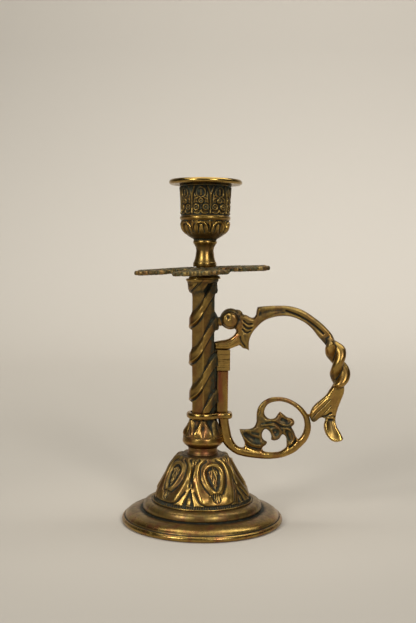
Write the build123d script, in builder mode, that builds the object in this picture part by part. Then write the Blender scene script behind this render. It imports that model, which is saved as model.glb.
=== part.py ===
from build123d import *
import math
import os

os.makedirs("parts", exist_ok=True)

# Brass chamber candlestick with a cast side handle. Millimetres, +Z up, foot on z = 0,
# stem on the Z axis, handle towards +X, front towards -Y.

# ---------------------------------------------------------------- driving dimensions
HEIGHT = 180.0             # underside of the foot to the top of the rim
CANDLE_BORE_R = 11.1       # takes a 22 mm candle
LINER_R = 11.75            # outside of the nozzle liner
LINER_Z = 156.9            # underside of the liner floor
SOCKET_BORE_R = 12.0       # the liner drops in with 0.25 mm all round
RIM_R = 19.1
RIM_T = 2.7
RIM_GAP = 0.15             # rim underside above the cup edge

FOOT_R = 43.05
BELL_BASE_Z = 11.3
BELL_TOP_Z = 35.5
BELL_WALL = 2.0
COLLAR_TOP_Z = 39.2
KNOP_TOP_Z = 54.0
STRAP_RING_Z = (54.7, 57.9)
COLUMN_TOP_Z = 119.4
CAPITAL_TOP_Z = 128.4

HEX_R = 7.0                # column, over the arrises
RIBBON_R = 7.9             # over the twisted ribbon
RIBBON_W = 8.6
RIBBON_PITCH = 39.6        # right hand, two starts
RIBBON_Z = (58.6, 119.4)
RIBBON_CREST_Z = 65.2      # height where a ribbon crosses the -X side

ROD_R = 2.5
ROD_Z = (26.4, 148.0)
ROD_HOLE_R = 2.7
SPIGOT_R = 4.5
PAN_BORE_R = 4.8
PAN_Z = 131.75             # underside of the pan at its centre
PAN_T = 2.3
PAN_LEAN = 2.4             # degrees, the loose pan leans with its +X side high
PAN_TIP_R = 36.6
PAN_LOBES = 5
PAN_HUB_R = 13.0
LEAF_TEETH = [(14.5, 8.9), (19.0, 12.6), (23.5, 15.0), (28.0, 14.2), (32.2, 10.2)]     # along, half width
SEAT_Z = 134.6             # cup neck on top of the spigot

BAR_X = (7.1, 13.1)        # flat bar beside the column
BAR_HALF_Y = 2.0
BAR_JOINT_Z = 86.0         # bar and arm butt inside the ferrule
FERRULE_Z = (80.2, 91.0)
ARM_HALF_Y = 2.6
PEG_R = 0.8


# ---------------------------------------------------------------- shared outline helper
def outline(*runs):
    """Smooth runs joined at corners; each run is a list of points, the last run closes it."""
    for run in runs:
        if len(run) == 2:
            Line(*run)
        else:
            Spline(*run)


def turned(profile):
    """Closed outline in r, z for a revolve about Z."""
    Polyline(*profile, close=True)


# ================================================================ foot
with BuildPart() as foot_plate:
    with BuildSketch(Plane.XZ):
        with BuildLine():
            Polyline((39.8, 0), (42.3, 0), (FOOT_R, 0.8), (FOOT_R, 2.9))
            RadiusArc((FOOT_R, 2.9), (41.4, 4.2), -1.5)
            Polyline((41.4, 4.2), (41.0, 3.9), (40.8, 4.6))
            ThreePointArc((40.8, 4.6), (36.4, 6.5), (31.3, 7.0))
            ThreePointArc((31.3, 7.0), (30.2, 10.5), (26.8, BELL_BASE_Z))
            Polyline((26.8, BELL_BASE_Z), (24.4, BELL_BASE_Z), (24.4, 9.4), (27.6, 8.9), (29.3, 5.2))
            ThreePointArc((29.3, 5.2), (35.2, 4.4), (39.0, 2.6))
            Line((39.0, 2.6), (39.8, 0))
        make_face()
    revolve(axis=Axis.Z)
foot_plate.part.label = "foot_plate"
export_step(foot_plate.part, "parts/foot_plate.step")

BELL_OUT = [(26.4, BELL_BASE_Z), (23.6, 17.0), (20.3, 23.6), (16.8, 30.3), (12.6, 34.6)]
BELL_RELIEF = 0.7

with BuildPart() as bell_skin:          # band the relief is clipped to
    with BuildSketch(Plane.XZ):
        with BuildLine():
            Spline(*[(r + BELL_RELIEF, z) for r, z in BELL_OUT])
            Spline(*[(r - 1.0, z) for r, z in BELL_OUT])
            Line((BELL_OUT[0][0] + BELL_RELIEF, BELL_BASE_Z), (BELL_OUT[0][0] - 1.0, BELL_BASE_Z))
            Line((BELL_OUT[-1][0] + BELL_RELIEF, 34.6), (BELL_OUT[-1][0] - 1.0, 34.6))
        make_face()
    revolve(axis=Axis.Z)

with BuildPart() as bell_cartouche:     # oval with a raised rim and a leaf in it
    with BuildSketch(Plane.XZ.offset(12)):
        with Locations((0, 23.6)):
            Ellipse(4.9, 8.2)
            Ellipse(3.9, 7.0, mode=Mode.SUBTRACT)
            Ellipse(2.0, 4.6)
    extrude(amount=18)
    add(bell_skin.part, mode=Mode.INTERSECT)

with BuildPart() as bell_tongue:        # plain leaf between two cartouches
    with BuildSketch(Plane.XZ.offset(10)):
        with BuildLine():
            outline([(0, 12.4), (4.6, 15.0), (3.4, 24.0), (0, 33.5)],
                    [(0, 33.5), (-3.4, 24.0), (-4.6, 15.0), (0, 12.4)])
        make_face()
    extrude(amount=20)
    add(bell_skin.part, mode=Mode.INTERSECT)

with BuildPart() as foot_bell:
    with BuildSketch(Plane.XZ):
        with BuildLine():
            Spline(*BELL_OUT)
            Polyline(BELL_OUT[-1], (11.6, BELL_TOP_Z), (ROD_HOLE_R, BELL_TOP_Z), (ROD_HOLE_R, 33.3),
                     (11.2, 33.3))
            Spline((11.2, 33.3), (15.0, 29.6), (18.3, 23.4), (21.6, 16.6), (24.6, BELL_BASE_Z))
            Line((24.6, BELL_BASE_Z), BELL_OUT[0])
        make_face()
    revolve(axis=Axis.Z)
    with Locations(*[Location((0, 0, 0), (0, 0, 16 + 72 * k)) for k in range(5)]):
        add(bell_cartouche.part)
    with Locations(*[Location((0, 0, 0), (0, 0, -20 + 72 * k)) for k in range(5)]):
        add(bell_tongue.part)
foot_bell.part.label = "foot_bell"
export_step(foot_bell.part, "parts/foot_bell.step")

with BuildPart() as foot_washer:
    with BuildSketch(Plane.XY.offset(32.1)):
        Circle(8.0)
        Circle(ROD_HOLE_R, mode=Mode.SUBTRACT)
    extrude(amount=1.2)
foot_washer.part.label = "foot_washer"
export_step(foot_washer.part, "parts/foot_washer.step")

with BuildPart() as tie_nut:
    with BuildSketch(Plane.XY.offset(28.1)):
        RegularPolygon(5.0, 6)
        Circle(ROD_R, mode=Mode.SUBTRACT)
    extrude(amount=4.0)
tie_nut.part.label = "tie_nut"
export_step(tie_nut.part, "parts/tie_nut.step")

with BuildPart() as tie_rod:
    with BuildSketch(Plane.XY.offset(ROD_Z[0])):
        Circle(ROD_R)
    extrude(amount=ROD_Z[1] - ROD_Z[0])
    chamfer(tie_rod.edges().filter_by(GeomType.CIRCLE), 0.5)
tie_rod.part.label = "tie_rod"
export_step(tie_rod.part, "parts/tie_rod.step")

# ================================================================ stem
with BuildPart() as neck_collar:
    with BuildSketch(Plane.XZ):
        with BuildLine():
            Line((ROD_HOLE_R, BELL_TOP_Z), (8.1, BELL_TOP_Z))
            ThreePointArc((8.1, BELL_TOP_Z), (8.6, 36.1), (8.0, 36.7))
            Line((8.0, 36.7), (7.5, 37.8))
            ThreePointArc((7.5, 37.8), (8.3, 38.5), (7.9, COLLAR_TOP_Z))
            Polyline((7.9, COLLAR_TOP_Z), (ROD_HOLE_R, COLLAR_TOP_Z), (ROD_HOLE_R, BELL_TOP_Z))
        make_face()
    revolve(axis=Axis.Z)
neck_collar.part.label = "neck_collar"
export_step(neck_collar.part, "parts/neck_collar.step")

KNOP_OUT = [(8.0, 40.0), (9.5, 40.7), (10.4, 42.2), (10.0, 44.6), (8.9, 48.0), (7.6, 51.6), (7.3, KNOP_TOP_Z)]

with BuildPart() as knop_skin:
    with BuildSketch(Plane.XZ):
        with BuildLine():
            Spline(*[(r + 0.6, z) for r, z in KNOP_OUT])
            Polyline((KNOP_OUT[-1][0] + 0.6, KNOP_TOP_Z), (5, KNOP_TOP_Z), (5, 40.0), (8.6, 40.0))
        make_face()
    revolve(axis=Axis.Z)

with BuildPart() as knop_leaf:          # pointed leaf, tip up, on each arris
    with BuildSketch(Plane.XZ.offset(5)):
        with BuildLine():
            outline([(0, 53.4), (1.0, 49.5), (3.4, 44.6)], [(3.4, 44.6), (1.6, 43.4), (0, 44.6)],
                    [(0, 44.6), (-1.6, 43.4), (-3.4, 44.6)], [(-3.4, 44.6), (-1.0, 49.5), (0, 53.4)])
        make_face()
    extrude(amount=8)
    add(knop_skin.part, mode=Mode.INTERSECT)

with BuildPart() as stem_knop:
    with BuildSketch(Plane.XZ):
        with BuildLine():
            Spline(*KNOP_OUT)
            Polyline(KNOP_OUT[-1], (ROD_HOLE_R, KNOP_TOP_Z), (ROD_HOLE_R, COLLAR_TOP_Z),
                     (7.6, COLLAR_TOP_Z), KNOP_OUT[0])
        make_face()
    revolve(axis=Axis.Z)
    with PolarLocations(0, 6):
        add(knop_leaf.part)
stem_knop.part.label = "stem_knop"
export_step(stem_knop.part, "parts/stem_knop.step")

with BuildPart() as ribbon:             # flat bar with round edges, twisted about Z
    ribbon_len = RIBBON_Z[1] - RIBBON_Z[0]
    with BuildLine(Plane.XY.offset(RIBBON_Z[0])) as ribbon_path:
        Line((0, 0, 0), (0, 0, ribbon_len))
    with BuildLine(Plane.XY.offset(RIBBON_Z[0])) as ribbon_guide:
        Helix(RIBBON_PITCH, ribbon_len, RIBBON_R)
    with BuildSketch(Plane.XY.offset(RIBBON_Z[0])):
        Circle(RIBBON_R)
        Rectangle(2 * RIBBON_R, RIBBON_W, mode=Mode.INTERSECT,
                  rotation=360 * (RIBBON_Z[0] - RIBBON_CREST_Z) / RIBBON_PITCH)
    sweep(path=ribbon_path.line, binormal=ribbon_guide.edges()[0])

with BuildPart() as stem_column:
    with BuildSketch(Plane.XY.offset(KNOP_TOP_Z)):
        RegularPolygon(HEX_R, 6, rotation=30)
    extrude(amount=COLUMN_TOP_Z - KNOP_TOP_Z)
    add(ribbon.part)
    with BuildSketch(Plane.XZ):         # cushion capital
        with BuildLine():
            Line((0, COLUMN_TOP_Z), (6.2, COLUMN_TOP_Z))
            Spline((6.2, COLUMN_TOP_Z), (7.4, 121.6), (8.1, 124.0), (8.35, 126.0))
            ThreePointArc((8.35, 126.0), (8.7, 127.0), (8.35, CAPITAL_TOP_Z))
            Polyline((8.35, CAPITAL_TOP_Z), (0, CAPITAL_TOP_Z), (0, COLUMN_TOP_Z))
        make_face()
    revolve(axis=Axis.Z)
    with BuildSketch(Plane.XY.offset(KNOP_TOP_Z)):
        Circle(ROD_HOLE_R)
    extrude(amount=CAPITAL_TOP_Z - KNOP_TOP_Z, mode=Mode.SUBTRACT)
    with BuildSketch(Plane.YZ.offset(BAR_X[0])):        # seat filed for the bar and the arm
        with Locations((0, 78)):
            Rectangle(2 * ARM_HALF_Y + 0.8, 39)
    extrude(amount=4, mode=Mode.SUBTRACT)
    with BuildSketch(Plane.YZ.offset(4.2)):             # socket for the beak peg
        with Locations((0, 105.6)):
            Circle(PEG_R)
    extrude(amount=5, mode=Mode.SUBTRACT)
stem_column.part.label = "stem_column"
export_step(stem_column.part, "parts/stem_column.step")

# ================================================================ handle
SCROLL_EDGE = [
    [(BAR_X[0], BAR_JOINT_Z), (BAR_X[0], 59.0)],
    [(BAR_X[0], 59.0), (8.5, 54.7)],
    [(8.5, 54.7), (9.7, 49.6), (11.1, 44.2), (11.3, 41.4)],
    [(11.3, 41.4), (15.4, 36.5), (23.0, 33.9), (36.0, 32.9), (48.6, 36.5), (55.4, 43.3), (57.3, 51.2),
     (54.0, 59.0), (48.3, 63.7), (39.6, 66.2), (32.0, 64.1), (28.5, 58.6), (28.3, 52.8)],
    [(28.3, 52.8), (27.0, 50.0), (24.6, 48.9)],
    [(24.6, 48.9), (19.4, 48.8)],
    [(19.4, 48.8), (21.2, 43.6), (22.4, 38.8)],
    [(22.4, 38.8), (17.8, 40.3), (14.9, 46.0), (13.7, 52.6), (BAR_X[1], 58.6)],
    [(BAR_X[1], 58.6), (BAR_X[1], BAR_JOINT_Z)],
    [(BAR_X[1], BAR_JOINT_Z), (BAR_X[0], BAR_JOINT_Z)],
]
SCROLL_WINDOW_TOP = [      # crescent above the leaf
    [(34.2, 55.0), (32.6, 58.2), (34.6, 62.1), (40.2, 63.7), (46.8, 61.7), (51.8, 57.2), (53.7, 51.2),
     (52.8, 46.6), (50.4, 43.7)],
    [(50.4, 43.7), (48.6, 47.2), (46.9, 50.2)],
    [(46.9, 50.2), (48.4, 51.9), (47.2, 54.9)],
    [(47.2, 54.9), (43.9, 55.9), (40.7, 58.5)],
    [(40.7, 58.5), (38.6, 55.3), (34.2, 55.0)],
]
SCROLL_WINDOW_LOW = [      # opening between the curl and the ring
    [(31.4, 39.1), (37.2, 38.0), (43.9, 39.6)],
    [(43.9, 39.6), (44.4, 43.4), (42.8, 46.6)],
    [(42.8, 46.6), (40.9, 45.8)],
    [(40.9, 45.8), (38.7, 43.5), (36.0, 45.0)],
    [(36.0, 45.0), (36.3, 47.3), (34.8, 48.9), (33.2, 46.4), (33.9, 42.0)],
    [(33.9, 42.0), (31.4, 39.1)],
]

with BuildPart() as handle_scroll:      # bar, strap under the knop, C-scroll and leaf in one casting
    for edge, how in ((SCROLL_EDGE, Mode.ADD), (SCROLL_WINDOW_TOP, Mode.SUBTRACT),
                      (SCROLL_WINDOW_LOW, Mode.SUBTRACT)):
        with BuildSketch(Plane.XZ):
            with BuildLine():
                outline(*edge)
            make_face()
        extrude(amount=BAR_HALF_Y, both=True, mode=how)
    with BuildSketch(Plane.XY.offset(FERRULE_Z[0])):    # shoulders that the ferrule sits on
        with Locations(((BAR_X[0] + BAR_X[1]) / 2, 0)):
            Rectangle(8, 8)
            Rectangle(4.6, 3.0, mode=Mode.SUBTRACT)
    extrude(amount=8, mode=Mode.SUBTRACT)
    with BuildSketch(Plane.YZ.offset(54.4)):            # socket for the tail peg
        with Locations((0, 56.4)):
            Circle(PEG_R)
    extrude(amount=4, mode=Mode.SUBTRACT)
handle_scroll.part.label = "handle_scroll"
export_step(handle_scroll.part, "parts/handle_scroll.step")

with BuildPart() as handle_collar:      # ring round the column and the bar
    with BuildSketch(Plane.XZ):
        with BuildLine():
            Line((0, STRAP_RING_Z[0]), (8.3, STRAP_RING_Z[0]))
            ThreePointArc((8.3, STRAP_RING_Z[0]), (9.0, 56.3), (8.3, STRAP_RING_Z[1]))
            Polyline((8.3, STRAP_RING_Z[1]), (0, STRAP_RING_Z[1]), (0, STRAP_RING_Z[0]))
        make_face()
    revolve(axis=Axis.Z)
    with BuildSketch(Plane.XY.offset(STRAP_RING_Z[0])):
        with Locations((9.6, 0)):
            RectangleRounded(11.6, 8.4, 1.6)
    extrude(amount=STRAP_RING_Z[1] - STRAP_RING_Z[0])
    chamfer(handle_collar.faces().sort_by(Axis.X)[-1].edges().filter_by(Axis.Y), 0.7)
    with BuildSketch(Plane.XY.offset(STRAP_RING_Z[0])):
        RegularPolygon(HEX_R, 6, rotation=30)
    extrude(amount=10, mode=Mode.SUBTRACT)
    add(handle_scroll.part, mode=Mode.SUBTRACT)
handle_collar.part.label = "handle_collar"
export_step(handle_collar.part, "parts/handle_collar.step")

ARM_EDGE = [
    [(BAR_X[0], 94.4), (11.4, 95.2), (15.4, 97.1), (17.6, 101.6), (17.0, 104.6)],
    [(17.0, 104.6), (16.6, 110.4)],
    [(16.6, 110.4), (20.4, 109.7), (23.4, 108.6), (26.1, 108.2), (27.4, 109.9)],
    [(27.4, 109.9), (27.9, 113.5)],
    [(27.9, 113.5), (31.0, 114.2), (42.6, 114.4), (52.7, 111.4), (62.9, 104.7), (69.4, 96.6)],
    [(69.4, 96.6), (64.2, 94.6)],
    [(64.2, 94.6), (57.2, 102.3), (47.4, 108.4), (37.4, 108.5), (28.4, 103.4), (24.0, 96.4), (23.7, 90.8)],
    [(23.7, 90.8), (18.9, 93.4)],
    [(18.9, 93.4), (15.6, 92.4), (BAR_X[1], FERRULE_Z[1])],
    [(BAR_X[1], FERRULE_Z[1]), (BAR_X[0], FERRULE_Z[1])],
    [(BAR_X[0], FERRULE_Z[1]), (BAR_X[0], 94.4)],
]
TAIL_EDGE = [
    [(68.6, 74.6), (65.2, 67.8), (59.9, 63.2), (56.8, 58.9)],
    [(56.8, 58.9), (56.5, 54.9), (57.6, 53.3)],
    [(57.6, 53.3), (60.4, 53.7), (62.6, 55.2), (64.9, 54.6)],
    [(64.9, 54.6), (64.0, 50.6), (65.7, 45.8), (70.4, 42.8), (74.3, 44.5)],
    [(74.3, 44.5), (71.6, 50.7), (71.1, 57.0), (72.9, 64.3), (74.7, 69.6), (74.6, 74.6)],
    [(74.6, 74.6), (68.6, 74.6)],
]
TWIST_MID = [(66.6, 96.0), (69.9, 90.4), (71.2, 84.4), (72.2, 79.0), (71.8, 73.4)]
TWIST_A, TWIST_B = 5.5, 3.3            # half axes of the twisted section
TWIST_START, TWIST_TURN = -8, 370      # degrees

with BuildPart() as rope_twist:         # oval bar twisted right hand along a bent line
    with BuildLine(Plane.XZ):
        twist_run = Spline(*TWIST_MID)
    guide_points = []
    for k in range(25):
        at = k / 24
        turn = math.radians(TWIST_START + TWIST_TURN * at)
        side = Vector(0, 1, 0)
        out = (twist_run % at).cross(side)
        guide_points.append(twist_run @ at + side * (6 * math.cos(turn)) + out * (6 * math.sin(turn)))
    with BuildLine() as twist_guide:
        Spline(*guide_points)
    with BuildSketch(Plane(origin=twist_run @ 0, x_dir=(0, 1, 0), z_dir=twist_run % 0)):
        Ellipse(TWIST_A, TWIST_B, rotation=TWIST_START)
    sweep(path=twist_run, binormal=twist_guide.edges()[0])

with BuildPart() as handle_upper:       # head, neck, arched body, twist and tail in one casting
    with BuildSketch(Plane.XZ):
        with BuildLine():
            outline(*ARM_EDGE)
        make_face()
    extrude(amount=ARM_HALF_Y, both=True)
    with BuildSketch(Plane.XZ):
        with BuildLine():
            outline(*TAIL_EDGE)
        make_face()
    extrude(amount=ARM_HALF_Y - 0.4, both=True)
    add(rope_twist.part)
    with Locations((14.2, 0, 107.2)):
        Sphere(5.6)
    with Locations(Location((10.0, 0, 105.8), (0, -90, 0))):
        Cone(2.6, 1.3, 2.1, align=(Align.CENTER, Align.CENTER, Align.MIN))
    with BuildSketch(Plane.XY.offset(BAR_JOINT_Z)):     # tang in the ferrule
        with Locations(((BAR_X[0] + BAR_X[1]) / 2, 0)):
            Rectangle(4.6, 3.0)
    extrude(amount=FERRULE_Z[1] - BAR_JOINT_Z + 0.5)
    with BuildSketch(Plane.YZ.offset(7.0)):
        with Locations((0, 105.6)):
            Circle(PEG_R)
    extrude(amount=5, mode=Mode.SUBTRACT)
    with BuildSketch(Plane.YZ.offset(54.4)):
        with Locations((0, 56.4)):
            Circle(PEG_R)
    extrude(amount=6, mode=Mode.SUBTRACT)
    add(handle_scroll.part, mode=Mode.SUBTRACT)
    add(stem_column.part, mode=Mode.SUBTRACT)
handle_upper.part.label = "handle_upper"
export_step(handle_upper.part, "parts/handle_upper.step")

with BuildPart() as handle_ferrule:     # sleeve over the butt joint of bar and arm
    with BuildSketch(Plane.XY.offset(FERRULE_Z[0])):
        with Locations(((BAR_X[0] + BAR_X[1]) / 2 + 0.4, 0)):
            Rectangle(BAR_X[1] - BAR_X[0] + 0.8, 5.4)
    extrude(amount=FERRULE_Z[1] - FERRULE_Z[0])
    fillet(handle_ferrule.edges().filter_by(Axis.Z).sort_by(Axis.X)[-2:], 0.6)
    with BuildSketch(Plane.XY.offset(FERRULE_Z[0])):
        with Locations(((BAR_X[0] + BAR_X[1]) / 2, 0)):
            Rectangle(4.6, 3.0)
    extrude(amount=FERRULE_Z[1] - FERRULE_Z[0], mode=Mode.SUBTRACT)
handle_ferrule.part.label = "handle_ferrule"
export_step(handle_ferrule.part, "parts/handle_ferrule.step")

for name, start, end, z in (("beak_pin", 4.2, 12.0, 105.6), ("tail_pin", 54.4, 60.4, 56.4)):
    with BuildPart() as peg:
        with BuildSketch(Plane.YZ.offset(start)):
            with Locations((0, z)):
                Circle(PEG_R)
        extrude(amount=end - start)
    peg.part.label = name
    export_step(peg.part, f"parts/{name}.step")

# ================================================================ drip pan and candle cup
with BuildPart() as pan_washer:         # spacer with the spigot that the pan turns on
    with BuildSketch(Plane.XZ):
        with BuildLine():
            Line((ROD_HOLE_R, CAPITAL_TOP_Z), (8.3, CAPITAL_TOP_Z))
            ThreePointArc((8.3, CAPITAL_TOP_Z), (8.0, 129.5), (6.9, 130.2))
            Polyline((6.9, 130.2), (6.6, 131.1), (SPIGOT_R, 131.1), (SPIGOT_R, SEAT_Z), (ROD_HOLE_R, SEAT_Z),
                     (ROD_HOLE_R, CAPITAL_TOP_Z))
        make_face()
    revolve(axis=Axis.Z)
pan_washer.part.label = "pan_washer"
export_step(pan_washer.part, "parts/pan_washer.step")


def lobe_run(side):
    """Serrated edge of one side of a pan leaf, from the waist to the tip."""
    points = [(9.0, side * 6.6)]
    for along, width in LEAF_TEETH:
        points += [(along, side * width), (along + 1.3, side * (width - 1.6))]
    return points


lean = math.radians(PAN_LEAN)
pan_plane = Plane(origin=(0, 0, PAN_Z), x_dir=(math.cos(lean), 0, math.sin(lean)),
                  z_dir=(-math.sin(lean), 0, math.cos(lean)))

with BuildSketch() as pan_leaf:
    with BuildLine():
        Polyline(*lobe_run(1), (PAN_TIP_R, 0), *reversed(lobe_run(-1)), close=True)
    make_face()

with BuildPart() as drip_pan:           # five serrated leaves round a flat hub
    with BuildSketch(pan_plane):
        with PolarLocations(0, PAN_LOBES, start_angle=-94):
            add(pan_leaf.sketch)
        Circle(PAN_HUB_R)
        Circle(PAN_BORE_R, mode=Mode.SUBTRACT)
    extrude(amount=PAN_T)
drip_pan.part.label = "drip_pan"
export_step(drip_pan.part, "parts/drip_pan.step")

CUP_TOP_Z = HEIGHT - RIM_T - RIM_GAP

with BuildPart() as cup_skin:
    with BuildSketch(Plane.XZ):
        with BuildLine():
            Polyline((11.5, 149.4), (12.6, 150.6), (13.55, 155.0), (13.5, 176.6), (12.2, 176.6),
                     (12.2, 155.0), (6.0, 150.6), (6.0, 149.4), close=True)
        make_face()
    revolve(axis=Axis.Z)

with BuildPart() as cup_arch:           # pointed arch frame with a bud in it
    with BuildSketch(Plane.XZ.offset(10)):
        with BuildLine():
            outline([(0, 175.6), (4.3, 171.0), (3.4, 163.4)], [(3.4, 163.4), (0, 164.6), (-3.4, 163.4)],
                    [(-3.4, 163.4), (-4.3, 171.0), (0, 175.6)])
        make_face()
        with Locations((0, 168.8)):
            Ellipse(2.7, 4.4, mode=Mode.SUBTRACT)
            Ellipse(1.1, 2.9)
    extrude(amount=6)
    add(cup_skin.part, mode=Mode.INTERSECT)

with BuildPart() as cup_lobe:           # gadroon on the bowl
    with BuildSketch(Plane.XZ.offset(5)):
        with BuildLine():
            outline([(-1.5, 150.0), (-3.9, 154.6), (-3.4, 159.0)], [(-3.4, 159.0), (3.4, 159.0)],
                    [(3.4, 159.0), (3.9, 154.6), (1.5, 150.0)], [(1.5, 150.0), (-1.5, 150.0)])
        make_face()
    extrude(amount=11)
    add(cup_skin.part, mode=Mode.INTERSECT)

with BuildPart() as candle_socket:
    with BuildSketch(Plane.XZ):
        with BuildLine():
            Polyline((0, SEAT_Z), (6.0, SEAT_Z), (6.1, 136.8))
            Spline((6.1, 136.8), (5.3, 138.6), (4.7, 142.4), (5.1, 145.2), (5.9, 146.6))
            ThreePointArc((5.9, 146.6), (6.6, 147.6), (6.1, 148.6))
            Spline((6.1, 148.6), (8.6, 150.4), (11.4, 152.8), (12.5, 156.0), (12.7, 159.0))
            ThreePointArc((12.7, 159.0), (13.4, 160.0), (12.7, 161.0))
            Polyline((12.7, 161.0), (12.9, 175.8), (13.6, 176.3), (13.6, CUP_TOP_Z),
                     (SOCKET_BORE_R, CUP_TOP_Z), (SOCKET_BORE_R, 156.4), (0, 156.4), (0, SEAT_Z))
        make_face()
    revolve(axis=Axis.Z)
    with PolarLocations(0, 8, start_angle=-10):
        add(cup_arch.part)
    with PolarLocations(0, 8, start_angle=12.5):
        add(cup_lobe.part)
    with BuildSketch(Plane.XY.offset(SEAT_Z)):
        Circle(ROD_R)
    extrude(amount=ROD_Z[1] - SEAT_Z, mode=Mode.SUBTRACT)
candle_socket.part.label = "candle_socket"
export_step(candle_socket.part, "parts/candle_socket.step")

with BuildPart() as nozzle:             # drop-in liner with a flat polished rim
    with BuildSketch(Plane.XZ):
        with BuildLine():
            Polyline((0, LINER_Z), (LINER_R, LINER_Z), (LINER_R, HEIGHT - RIM_T), (RIM_R - 0.9, HEIGHT - RIM_T))
            ThreePointArc((RIM_R - 0.9, HEIGHT - RIM_T), (RIM_R, 178.6), (RIM_R - 1.2, HEIGHT))
            Polyline((RIM_R - 1.2, HEIGHT), (CANDLE_BORE_R, HEIGHT), (CANDLE_BORE_R, LINER_Z + 0.8),
                     (0, LINER_Z + 0.8), (0, LINER_Z))
        make_face()
    revolve(axis=Axis.Z)
nozzle.part.label = "nozzle"
export_step(nozzle.part, "parts/nozzle.step")
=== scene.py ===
import math
from functools import partial

import bmesh
import bpy
import numpy as np
from mathutils import Matrix, Vector
from mathutils.geometry import delaunay_2d_cdt


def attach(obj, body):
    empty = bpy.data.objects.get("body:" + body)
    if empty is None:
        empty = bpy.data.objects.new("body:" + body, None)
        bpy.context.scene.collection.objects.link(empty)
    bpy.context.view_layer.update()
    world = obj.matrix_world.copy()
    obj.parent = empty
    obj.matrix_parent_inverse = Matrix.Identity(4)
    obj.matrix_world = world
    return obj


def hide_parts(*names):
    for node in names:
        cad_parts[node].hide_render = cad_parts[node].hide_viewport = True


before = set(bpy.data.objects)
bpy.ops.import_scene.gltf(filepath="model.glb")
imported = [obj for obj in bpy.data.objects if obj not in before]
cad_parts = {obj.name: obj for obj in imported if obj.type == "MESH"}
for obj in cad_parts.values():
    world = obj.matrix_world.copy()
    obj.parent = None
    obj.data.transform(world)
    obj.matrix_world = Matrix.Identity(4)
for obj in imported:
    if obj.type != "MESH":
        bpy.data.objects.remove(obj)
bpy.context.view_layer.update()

MM = 0.001
FRONT = math.radians(-90)      # azimuth of the side that faces the camera
BORE = 2.7                     # radius of the hole for the tie rod, mm
FAR, TINY = 1e9, 1e-9


# ------------ curves and profiles
def smooth(points, step=0.4, closed=False):
    """Catmull-Rom curve through the points, about step apart, as an array."""
    p = np.asarray(points, float)
    if closed:
        p = np.vstack([p[-1], p, p[0], p[1]])
    else:
        p = np.vstack([2 * p[0] - p[1], p, 2 * p[-1] - p[-2]])
    out = []
    for a, b, c, d in zip(p[:-3], p[1:-2], p[2:-1], p[3:]):
        n = max(1, int(math.ceil(np.linalg.norm(c - b) / step)))
        t = np.linspace(0, 1, n, endpoint=False)[:, None]
        out.append(0.5 * (2 * b + (c - a) * t + (2 * a - 5 * b + 4 * c - d) * t ** 2
                          + (3 * b - a - 3 * c + d) * t ** 3))
    if not closed:
        out.append(p[-2][None])
    return np.vstack(out)


def chain(*runs, step):
    """Smooth runs joined at corners, less the last point. Each run goes on from the one before."""
    parts, start = [], []
    for run in runs:
        parts.append(smooth(start + run, step)[:-1])
        start = run[-1:]
    return np.vstack(parts)


def outline(*runs, step):
    """Closed loop of smooth runs, with a straight run back to the start unless they end there."""
    start = runs[0][:1]
    return chain(*runs, step=step) if runs[-1][-1:] == start else chain(*runs, start, step=step)


def ease(lo, hi, x):
    """0 on the lo side, 1 on the hi side, smooth between."""
    t = np.clip((x - lo) / (hi - lo), 0, 1)
    return t * t * (3 - 2 * t)


def bump(v, width):
    """1 where v is 0, falling away over the width."""
    return np.exp(-(v / width) ** 2)


def fillet(d, radius):
    """Quarter-round profile: 0 at the edge, 1 from the radius inwards."""
    return np.sqrt(1 - (1 - np.clip(d / radius, 0, 1)) ** 2)


def sector(theta, folds, centre):
    """Angle from the nearest of the evenly spaced centres."""
    wedge = 2 * math.pi / folds
    return (theta - centre + wedge / 2) % wedge - wedge / 2


def polyline_distance(x, z, line):
    """Distance from each point to a polyline."""
    best = np.full(x.shape, FAR)
    for (ax, az), (bx, bz) in zip(line[:-1], line[1:]):
        dx, dz = bx - ax, bz - az
        t = np.clip(((x - ax) * dx + (z - az) * dz) / max(dx * dx + dz * dz, TINY), 0, 1)
        best = np.minimum(best, np.hypot(x - ax - t * dx, z - az - t * dz))
    return best


def strokes(x, z, marks):
    """Relief from drawn marks: (half width, height, points ...). Ridges merge, grooves cut."""
    up, cut = np.zeros(x.shape), np.zeros(x.shape)
    for width, height, *points in marks:
        line = smooth(points, 0.8) if len(points) > 2 else points
        shape = height * bump(polyline_distance(x, z, line), width)
        up, cut = np.maximum(up, shape), np.minimum(cut, shape)
    return up + cut


def inside(x, z, loops):
    """Even-odd test against closed loops."""
    odd = np.zeros(x.shape, bool)
    for loop in loops:
        for (ax, az), (bx, bz) in zip(loop, np.roll(loop, -1, axis=0)):
            if az != bz:
                odd ^= ((az > z) != (bz > z)) & (x < (bx - ax) * (z - az) / (bz - az) + ax)
    return odd


def rim_distance(x, z, loops):
    return np.min([polyline_distance(x, z, np.vstack([loop, loop[:1]])) for loop in loops], axis=0)


def outward(loop):
    """Unit normals of a closed loop, to the right of its direction."""
    tangent = np.roll(loop, -1, axis=0) - np.roll(loop, 1, axis=0)
    tangent /= np.maximum(np.linalg.norm(tangent, axis=1, keepdims=True), TINY)
    return np.stack([tangent[:, 1], -tangent[:, 0]], axis=1)


def spot(x, z, at, high, wide, tall):
    """Round or oval bump on the XZ plane."""
    return np.exp(-((x - at) / wide) ** 2 - ((z - high) / tall) ** 2)


def around(sides):
    return np.linspace(0, 2 * math.pi, sides, endpoint=False)


# ------------ meshes
def add_object(name, verts, faces):
    """A mesh object from millimetre vertices."""
    mesh = bpy.data.meshes.new(name)
    mesh.from_pydata((np.asarray(verts) * MM).tolist(), [], faces)
    mesh.validate()
    obj = bpy.data.objects.new(name, mesh)
    bpy.context.scene.collection.objects.link(obj)
    return obj


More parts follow.
